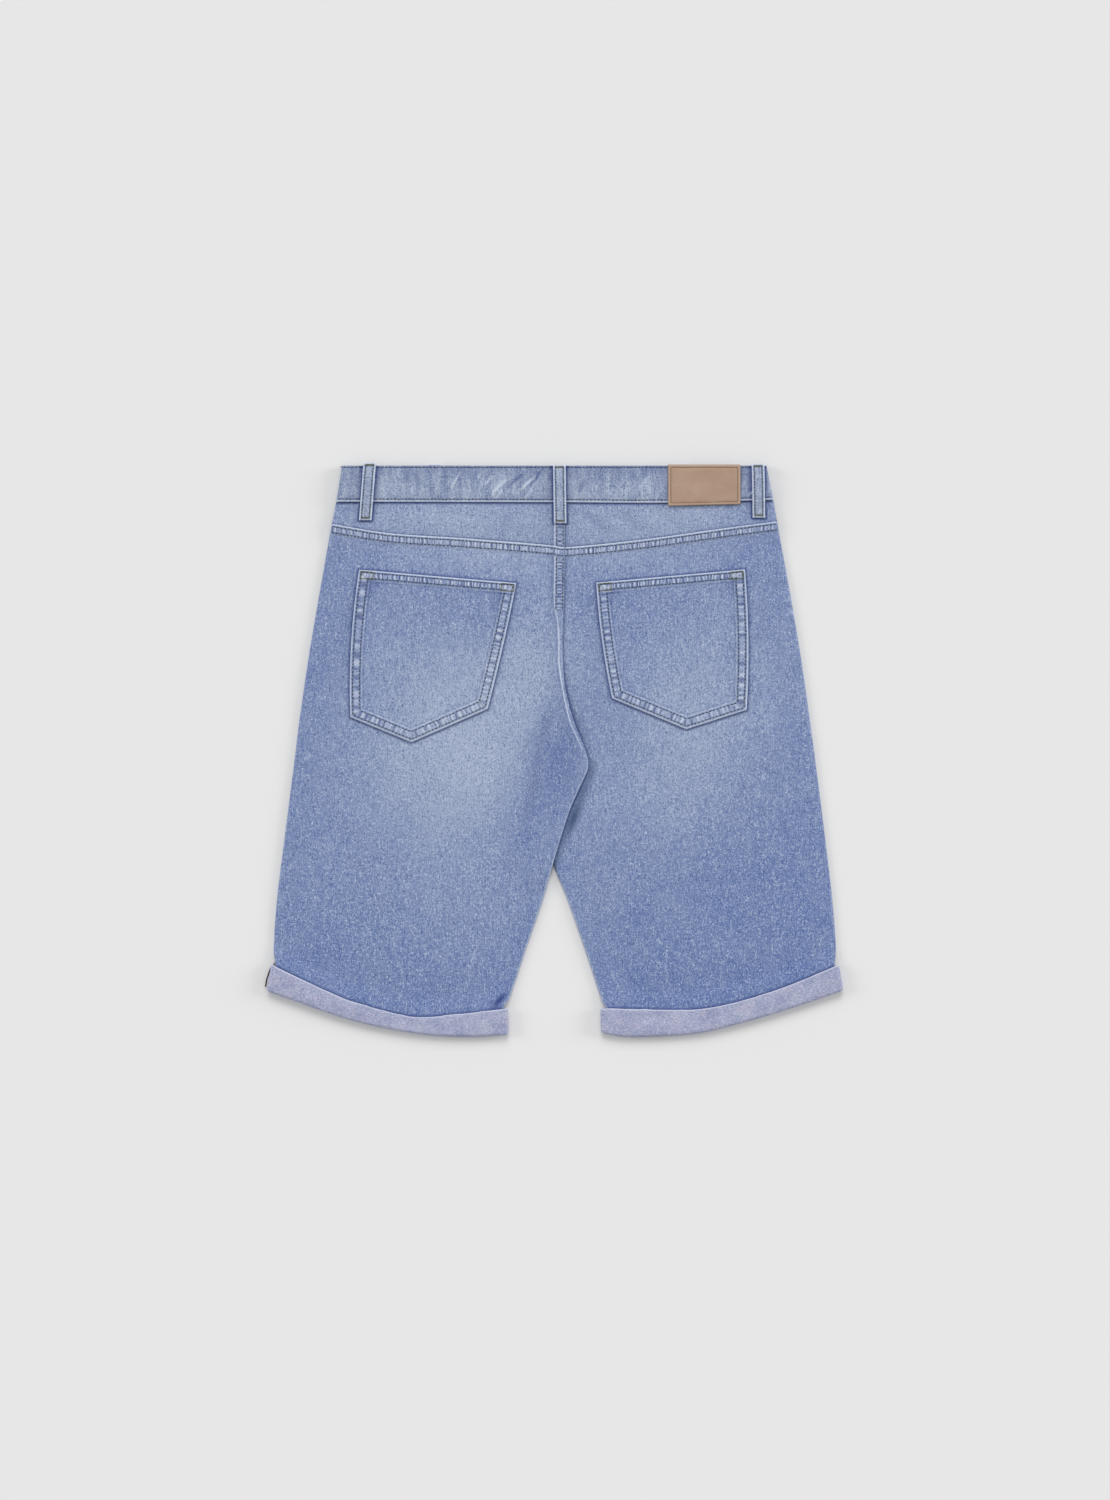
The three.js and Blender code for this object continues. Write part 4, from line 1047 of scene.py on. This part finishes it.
def pocket_face(half, x, y):
    """A pocket's outer face, the cloth it rests on, its looks and the distance to its edge."""
    corners = pocket_outline(half)
    d, along, which = nearest_side(corners, x, y)
    top = which == len(corners) - 1
    first, second = (np.where(top, *rows) for rows in zip(POCKET_ROWS["top"], POCKET_ROWS["side"]))
    light, shade, ladder = stitched_fields(d, along, first, second, 71 if half == "left" else 73)
    wide = np.where(which >= len(corners) - BOW_POINTS, *SIDE_GATHERS[half])
    along = np.where(top, x, along / wide)
    ladder = ladder * np.where(top, 1.0, 0.75)
    rest = back_top(half, x, y) + drape(x, y) + fold_height(half, x, y) + SEAM_GAP
    z = rest + CLOTH + stitched_profile(d, first, second) - 0.5 * smooth(d, 0.6, 0)
    z = z + 0.25 * lattice(x, y, 21, 75) * smooth(d, 10, 30)
    return z, rest, {"light": light, "shade": shade, "along": along, "ladder": ladder}, d


def pocket(half):
    top_outer, top_inner, bottom_outer, bottom_inner, tip = (np.array(c, float) for c in POCKETS[half])
    edge = 0.085
    border = np.linspace(0, edge, 18, endpoint=False)
    u, v = (np.concatenate([border, np.linspace(edge, 1 - edge, count), 1 - border[::-1]])
            for count in (104, 108))
    u[np.argmin(np.abs(u - POCKET_TIP_SHARE))] = POCKET_TIP_SHARE
    share = u[:, None]
    past_tip = (share - POCKET_TIP_SHARE) / (1 - POCKET_TIP_SHARE)
    low = np.where(share < POCKET_TIP_SHARE,
                   lerp(bottom_outer, tip, np.clip(share / POCKET_TIP_SHARE, 0, 1)),
                   lerp(tip, bottom_inner, np.clip(past_tip, 0, 1)))
    grid = lerp(low[None], lerp(top_outer, top_inner, share)[None], v[:, None, None])
    outward, inward = POCKET_BOWS[half]
    bow = INWARD[half] * lerp(-outward, inward, u[None]) * 4 * (v * (1 - v))[:, None]
    x, y = grid[..., 0] + bow, grid[..., 1]
    z, rest, fields, d = pocket_face(half, x, y)
    shade, light = fields["shade"], fields["light"]
    for (cx, cy), way in zip(POCKETS[half], (INWARD[half], -INWARD[half])):
        near = np.hypot(x - cx, (y - cy) * 0.8)
        shade = shade + 0.4 * smooth(near, 34, 12) * smooth(d, 9.5, 11) * smooth(d, 26, 12)
        across, down = (x - cx) * way, cy - y
        box = smooth(across, 2, 3) * smooth(across, 16, 15) * smooth(down, 2, 3) * smooth(down, 10, 9)
        light = light + 0.25 * box
        shade = shade + 0.5 * bump(down - 10.4, 1.4) * smooth(across, 1, 2) * smooth(across, 17, 15)
        shade = shade + 0.5 * bump(across - 15.8, 1.2) * smooth(down, 1, 3) * smooth(down, 11, 9)
    fields.update(light=light, shade=shade, wash=wash_at(x, y) - 0.02)
    return slab(f"pocket_{half}_cloth", x, y, z, rest, DENIM, fields)


# Belt loops, patch and small pieces
LOOP_ROW_INSET = 2.5


def waist_top(x, y):
    """What a belt loop lies on: the waistband, and the yoke below it."""
    lap = seat_lap(np.minimum(x, left_inner(y)), y)
    yoke_top = np.where(x < left_inner(y) + 1, back_top("left", x, y) + lap, back_top("right", x, y))
    return np.maximum(yoke_top, lerp(BAND_TOP, yoke_top, ramp(band_seam(x) - y, 1, 7)))


def loop_face(upper, lower, low, high, side, y):
    """The outer face of a loop, side from -0.5 to 0.5 across it."""
    share = ramp(y, low, high)
    middle = lerp(lower, upper, share)
    under = np.max([waist_top(middle + part * LOOP_WIDTH, y) for part in np.linspace(-0.5, 0.5, 5)], axis=0)
    rest = under + SEAM_GAP + 0.5 * np.sin(np.pi * share)
    inset = (0.5 - np.abs(side)) * LOOP_WIDTH
    ends = np.minimum(y - low, high - y)
    z = rest + LOOP_WALL - 0.9 * smooth(inset, 1.1, 0) ** 2 - 0.9 * smooth(ends, 1.1, 0) ** 2
    z = z - 0.35 * bump(inset - LOOP_ROW_INSET, 1.0) + 0.15 * lattice(y, side, 3.1, 81)
    return z, rest, inset, ends, middle + side * LOOP_WIDTH


def belt_loop(name, upper, lower, low, high):
    side, y = np.meshgrid(np.linspace(-0.5, 0.5, 25), np.linspace(low, high, 70))
    z, rest, inset, ends, x = loop_face(upper, lower, low, high, side, y)
    light = 0.9 * bump(inset - 0.65, 1.15) + 0.6 * bump(ends - 0.7, 1.3)
    light += 0.25 * np.clip(lattice(y, side, 2.4, 82), 0, 1) * smooth(inset, 3, 4)
    shade = 0.4 * bump(inset - LOOP_ROW_INSET, 1.0) + 0.18 * np.clip(lattice(y, side * 3, 3.3, 83), 0, 1)
    return slab(f"{name}_cloth", x, y, z, rest, BAND_DENIM, {"wash": 0.72, "light": light, "shade": shade})


def front_loop(name, middle):
    """A plain loop on the hidden front, whose outer face is the lower one."""
    side, y = np.meshgrid(np.linspace(-0.5, 0.5, 13), np.linspace(*FRONT_LOOP_ENDS, 30))
    inset = (0.5 - np.abs(side)) * LOOP_WIDTH
    fields = {"wash": 0.7, "light": 0.7 * bump(inset - 0.6, 1.2), "shade": 0.3 * bump(inset - 2.3, 1)}
    return slab(f"{name}_cloth", middle + side * LOOP_WIDTH, y, 0.35 * smooth(inset, 1.1, 0),
                WAIST_LIFT - SEAM_GAP, BAND_DENIM, fields)


def patch():
    u, v = np.meshgrid(np.linspace(0, 1, 74), np.linspace(0, 1, 44))
    low = lerp(PATCH["bottom_left"], PATCH["bottom_right"], u)
    x, y = lerp(PATCH["left"], PATCH["right"], u), lerp(low, PATCH["top"], v)
    inset = np.min([x - PATCH["left"], PATCH["right"] - x, PATCH["top"] - y, y - low], axis=0)
    rest = BAND_TOP + SEAM_GAP
    z = rest + PATCH_WALL - 0.5 * smooth(inset, 1.0, 0) - 0.3 * bump(inset - 3, 1.2)
    z = z + 0.12 * lattice(x, y, 14, 91) + 0.1 * bump(inset - 6, 3)
    shade = 0.75 * smooth(inset, 0.9, 0) + 0.1 * bump(inset - 3, 0.9)
    fields = {"light": 0.4 * bump(inset - 1.1, 0.9), "shade": shade}
    return slab("leather_patch_bare", x, y, z, rest, LEATHER, fields)


# Stitches
# Along the stitch as a share of its length, height, thickness
STITCH_RINGS = [(-0.5, -0.32, 0.45), (-0.36, 0.08, 0.95), (0.0, 0.22, 1.0), (0.36, 0.08, 0.95),
                (0.5, -0.32, 0.45)]
STITCH_SIDES = 6


def run_of(line):
    """How far along a row of points each of them is."""
    return np.concatenate([[0], np.cumsum(np.linalg.norm(np.diff(line, axis=0), axis=1))])


def points_at(line, gone, at):
    return np.stack([np.interp(at, gone, part) for part in line.T], -1)


def stitch_ends(line, pitch):
    gone = run_of(line)
    count = max(1, int(round(gone[-1] / pitch)))
    at = (np.arange(count) + 0.5) / count * gone[-1]
    half = 0.5 * gone[-1] / count
    return points_at(line, gone, at - half), points_at(line, gone, at + half)


def stitches(name, lines, material=THREAD, pitch=3.7, share=0.74, radius=0.52):
    """Thread on the cloth: one arched stitch after another along each line of points."""
    ends = [stitch_ends(line, pitch) for line in lines]
    first, last = (np.concatenate(side) for side in zip(*ends))
    middle = (first + last) / 2
    along = last - first
    length = np.linalg.norm(along, axis=1, keepdims=True)
    along = along / length
    across = np.cross(along, [0, 0, 1.0])
    across /= np.linalg.norm(across, axis=1, keepdims=True)
    up = np.cross(across, along)
    wobble = np.random.default_rng(7).uniform(-1, 1, (len(middle), 3))
    middle = middle + across * wobble[:, :1] * 0.1
    n = STITCH_SIDES
    rings = []
    for place, height, size in STITCH_RINGS:
        centre = middle + along * length * share * place * (1 + 0.08 * wobble[:, 1:2]) + up * height
        for a in (2 * math.pi * k / n for k in range(n)):
            rings.append(centre + (across * math.cos(a) + up * math.sin(a) * 0.85) * radius * size)
    points = np.stack(rings, 1)
    quads = [(r * n + k, r * n + (k + 1) % n, (r + 1) * n + (k + 1) % n, (r + 1) * n + k)
             for r in range(len(STITCH_RINGS) - 1) for k in range(n)]
    end = (len(STITCH_RINGS) - 1) * n
    quads += [(3, 2, 1, 0), (5, 4, 3, 0), (end, end + 1, end + 2, end + 3), (end, end + 3, end + 4, end + 5)]
    quads = np.array(quads)[None] + (np.arange(len(points)) * points.shape[1])[:, None, None]
    return mesh_object(name, points.reshape(-1, 3), quads.reshape(-1, 4), material)


def seat_rows(start, end, count):
    """The seat seam's two rows of stitches between two heights."""
    y = np.linspace(start, end, count)
    rows = (left_inner(y) - inset for inset in SEAT_ROWS)
    return [xyz(x, y, panel_face("left", x, y)) for x in rows]


def yoke_seam_rows(half):
    lines = []
    for depth in BAND_ROWS_AT:
        x, y = along_yoke_seam(half, depth, np.linspace(0, 1, 240), 1.2, {"left": -0.5, "right": 0.8})
        lines.append(xyz(x, y, skin(half, x, y) + stitched_profile(depth, *BAND_ROWS_AT)))
    return lines


def inset_lines(corners, sides, inset):
    """A row of points a way in from each side, where the row stays clear of the other sides."""
    middle = np.mean(corners, axis=0)
    lines = []
    for side in sides:
        gone = run_of(side)
        run = points_at(side, gone, np.linspace(0, gone[-1], int(gone[-1])))
        along = np.gradient(run, axis=0)
        normal = np.stack([-along[:, 1], along[:, 0]], -1) / np.linalg.norm(along, axis=1, keepdims=True)
        normal *= np.sign(np.sum(normal * (middle - run), axis=1, keepdims=True))
        moved = run + normal * inset
        lines.append(moved[outline_distance(corners, *moved.T) < 0.2 - inset])
    return lines


def on_pocket(half, lines):
    return [xyz(*line.T, pocket_face(half, *line.T)[0]) for line in lines]


def pocket_lines(half):
    sides = pocket_sides(half)
    top = sides.pop("top")
    lines = []
    for row in (0, 1):
        lines += inset_lines(pocket_outline(half), [top], POCKET_ROWS["top"][row])
        lines += inset_lines(pocket_outline(half), sides.values(), POCKET_ROWS["side"][row])
    return on_pocket(half, lines)


def pocket_tacks(half):
    """Short dense rows across the ends of the pocket's mouth."""
    top_outer, top_inner = pocket_sides(half)["top"]
    along = (top_inner - top_outer) / np.linalg.norm(top_inner - top_outer)
    down = np.array([along[1], -along[0]]) * INWARD[half]
    lines = []
    for corner, way in ((top_outer, along), (top_inner, -along)):
        for offset in (2.0, 14.6):
            lines.append(corner + way * offset + down * 1.6 + down * np.linspace(0, 7.6, 12)[:, None])
        for depth in (1.5, 8.6):
            lines.append(corner + way * 2.0 + down * depth + way * np.linspace(0, 12.6, 16)[:, None])
    return on_pocket(half, lines)


def waist_rows():
    """The waistband's two rows on the back, broken at the loops and the patch."""
    lines = []
    x = np.linspace(-219, 219, 900)
    for y in (band_seam(x) + BAND_LOWER_ROW, BAND_TOP_Y - BAND_UPPER_ROW + 0 * x):
        inside = (x > outer_side["left"](y) + 1.5) & (x < outer_side["right"](y) - 1.5)
        for outline in [loop_outline(*loop[1:]) for loop in LOOPS] + [PATCH_OUTLINE]:
            inside &= outline_distance(outline, x, y) > 0.8
        starts = np.flatnonzero(np.diff(np.concatenate([[0], inside.astype(int), [0]])))
        for a, b in zip(starts[::2], starts[1::2]):
            if b - a > 4:
                lines.append(xyz(x[a:b], y[a:b], band_face(x[a:b], y[a:b])))
    return lines


def loop_lines(*place):
    """The two rows along a loop, and the tacks across its ends."""
    low, high = place[2:]

    def on_loop(side, y):
        z, _, _, _, x = loop_face(*place, side, y)
        return xyz(x, y, z)

    y = np.linspace(low + 2.5, high - 1.5, 50)
    row = 0.5 - LOOP_ROW_INSET / LOOP_WIDTH
    across = np.linspace(-0.34, 0.34, 10)
    heights = (low + 2.2, low + 3.0, high - 1.6, high - 2.4)
    lines = [on_loop(side + 0 * y, y) for side in (-row, row)]
    return lines, [on_loop(across, height + 0 * across) for height in heights]


def patch_lines():
    level = BAND_TOP + SEAM_GAP + PATCH_WALL - 0.25
    sides = [np.array(pair, float) for pair in zip(PATCH_OUTLINE, PATCH_OUTLINE[1:] + PATCH_OUTLINE[:1])]
    return [xyz(*line.T, level) for line in inset_lines(PATCH_OUTLINE, sides, 2.8)]


FLY_WIDTH, FLY_END_Y = 38, 100


def front_lines():
    """Plain topstitching on the hidden front: the fly's curve and the waistband's rows."""
    lines = []
    turn = np.linspace(0, math.pi / 2, 20)
    for offset in (0, 6):
        y = np.linspace(238, FLY_END_Y, 60)
        reach = FLY_WIDTH - offset - 2
        curve = centre_front(FLY_END_Y) - FLY_WIDTH + offset + reach * (1 - np.cos(turn))
        x = np.concatenate([centre_front(y) - FLY_WIDTH + offset, curve])
        y = np.concatenate([y, FLY_END_Y - reach * np.sin(turn)])
        lines.append(xyz(x, y, front_lift("left", x, y) + 0.1))
    for y in (250.2, 282.6):
        for x0, x1 in ((-215, -128), (-112, -2), (8, 117), (134, 212)):
            lines.append(xyz(np.linspace(x0, x1, 40), y, WAIST_LIFT + 0.15))
    return lines


def waist_button():
    # radius, height
    profile = [(0.05, 0.9), (3.2, 0.75), (4.6, 0.35), (5.6, 0.05), (6.6, 0), (7.6, 0.25), (8.4, 0.9),
               (8.5, 1.4), (7.0, 1.7), (5, 2.1), (0.05, 2.1)]
    radii, heights = (np.array(column)[:, None] for column in zip(*profile))
    turn = 2 * math.pi * np.arange(48) / 48
    points = xyz(BUTTON_X + radii * np.cos(turn), BUTTON_Y + radii * np.sin(turn), heights)
    index = np.arange(radii.size * turn.size).reshape(-1, turn.size)
    index = np.concatenate([index, index[:, :1]], axis=1)
    quads = faces_of(index[:-1, :-1], index[1:, :-1], index[1:, 1:], index[:-1, 1:])
    return mesh_object("waist_button_domed", points.reshape(-1, 3), quads, METAL)


def overlock():
    """Dark overlock thread that shows along the left hem's outer edge."""
    path = np.array([(-279.2, -212.5), (-281.9, -215.2), (-284.7, -219.1), (-288.1, -229), (-289.3, -236.5)])
    x, y = points_at(path, np.linspace(0, 1, len(path)), np.linspace(0, 1, 30)).T
    return [xyz(x, y, 3.2), xyz(x + 0.3, y, 2.4)]


# The scene
TACK = {"material": BARTACK, "pitch": 1.1, "share": 0.98, "radius": 0.5}
OVERLOCK = {"material": BLACK_THREAD, "pitch": 1.3, "share": 1.0, "radius": 0.6}


def attach(piece, *nodes, slot):
    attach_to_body(piece, "root")
    if nodes:
        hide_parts(*nodes)
    return piece


def sew(name, lines, slot, **look):
    return attach(stitches(name, lines, **look), slot=slot)


def make_half(half):
    """The panels, the yoke, the pocket and the hem of one half, with their stitches."""
    left = half == "left"
    back = attach(back_panel(half), f"back_{half}", slot="denim")
    extra = [attach(yoke_band(half), slot="denim")]
    extra.append(sew(f"yoke_seam_{half}_topstitch", yoke_seam_rows(half), "denim"))
    if left:
        extra.append(sew("seat_seam_topstitch", seat_rows(192, SEAT_ROWS_END, 60), "denim"))
    top = attach(yoke(half), f"yoke_{half}", slot="denim")
    extra = [sew("yoke_seat_topstitch", seat_rows(204.5, 246.5, 40), "denim")] if left else []
    front = attach(front_panel(half), f"front_{half}", slot="denim")
    extra = [sew("front_topstitch", front_lines(), "denim")] if left else []
    patch_pocket = attach(pocket(half), f"pocket_back_{half}", slot="denim")
    extra = [sew(f"pocket_{half}_topstitch", pocket_lines(half), "denim"),
             sew(f"pocket_{half}_bartacks", pocket_tacks(half), "denim", **TACK)]
    hem = attach(cuff(half), f"cuff_{half}_front", f"cuff_{half}_back", slot="denim_wrong_side")
    extra = [sew("hem_overlock", overlock(), "denim_wrong_side", **OVERLOCK)] if left else []


def make_loops():
    for name, *place in LOOPS:
        loop = attach(belt_loop(name, *place), name, slot="denim_band")
        lines, tacks = loop_lines(*place)
        thread = sew(f"{name}_topstitch", lines, "denim_band", pitch=2.9)
        tack = sew(f"{name}_bartacks", tacks, "denim_band", **TACK)
    for name, middle in FRONT_LOOPS:
        loop = attach(front_loop(name, middle), name, slot="denim_band")


def make_garment():
    band = attach(waistband(), "waistband", slot="denim_band")
    thread = sew("waistband_topstitch", waist_rows(), "denim_band")
    for half in HALVES:
        make_half(half)
    make_loops()
    attach(patch(), "leather_patch", slot="leather")
    sew("patch_stitches", patch_lines(), "leather", material=PATCH_THREAD, pitch=2.3, share=0.62, radius=0.44)
    attach(waist_button(), "waist_button", slot="button_metal")
    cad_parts["fly_zip"].data.materials.clear()
    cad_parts["fly_zip"].data.materials.append(TAPE)


CAMERA_DISTANCE = 3.54
CAMERA_LENS = 85
FLOOR_SIZE = 8
WORLD_STRENGTH = 0.505
# name, tilt about X, tilt about Y, spread (all in degrees), strength
LAMPS = [("soft_key", -48, -4, 34, 1.2), ("from_the_right", -10, 72, 24, 1.3),
         ("from_the_left", -10, -66, 24, 0.9)]


def make_stage():
    world = bpy.data.worlds.new("studio")
    bpy.context.scene.world = world
    world.use_nodes = True
    background = world.node_tree.nodes["Background"]
    background.inputs["Color"].default_value = (1.0, 1.0, 1.0, 1.0)
    background.inputs["Strength"].default_value = WORLD_STRENGTH
    floor = Shader("pale_floor", roughness=0.95, specular=0.0)
    floor.bsdf.inputs["Base Color"].default_value = rgb(231, 231, 231)
    h = FLOOR_SIZE * 500
    corners = [(-h, -h, -0.4), (h, -h, -0.4), (h, h, -0.4), (-h, h, -0.4)]
    mesh_object("floor", corners, [(0, 1, 2, 3)], floor.material)
    for name, tilt, lean, spread, strength in LAMPS:
        light = bpy.data.lights.new(name, "SUN")
        light.energy = strength
        light.angle = math.radians(spread)
        lamp = collection_add(bpy.data.objects.new(name, light))
        lamp.rotation_euler = (math.radians(tilt), math.radians(lean), 0)
    camera = bpy.data.cameras.new("above")
    camera.lens = CAMERA_LENS
    camera.sensor_width = 36
    eye = collection_add(bpy.data.objects.new("above", camera))
    eye.location = (0, 0, CAMERA_DISTANCE)
    bpy.context.scene.camera = eye
    bpy.context.scene.view_settings.view_transform = "Standard"


make_stage()
make_garment()
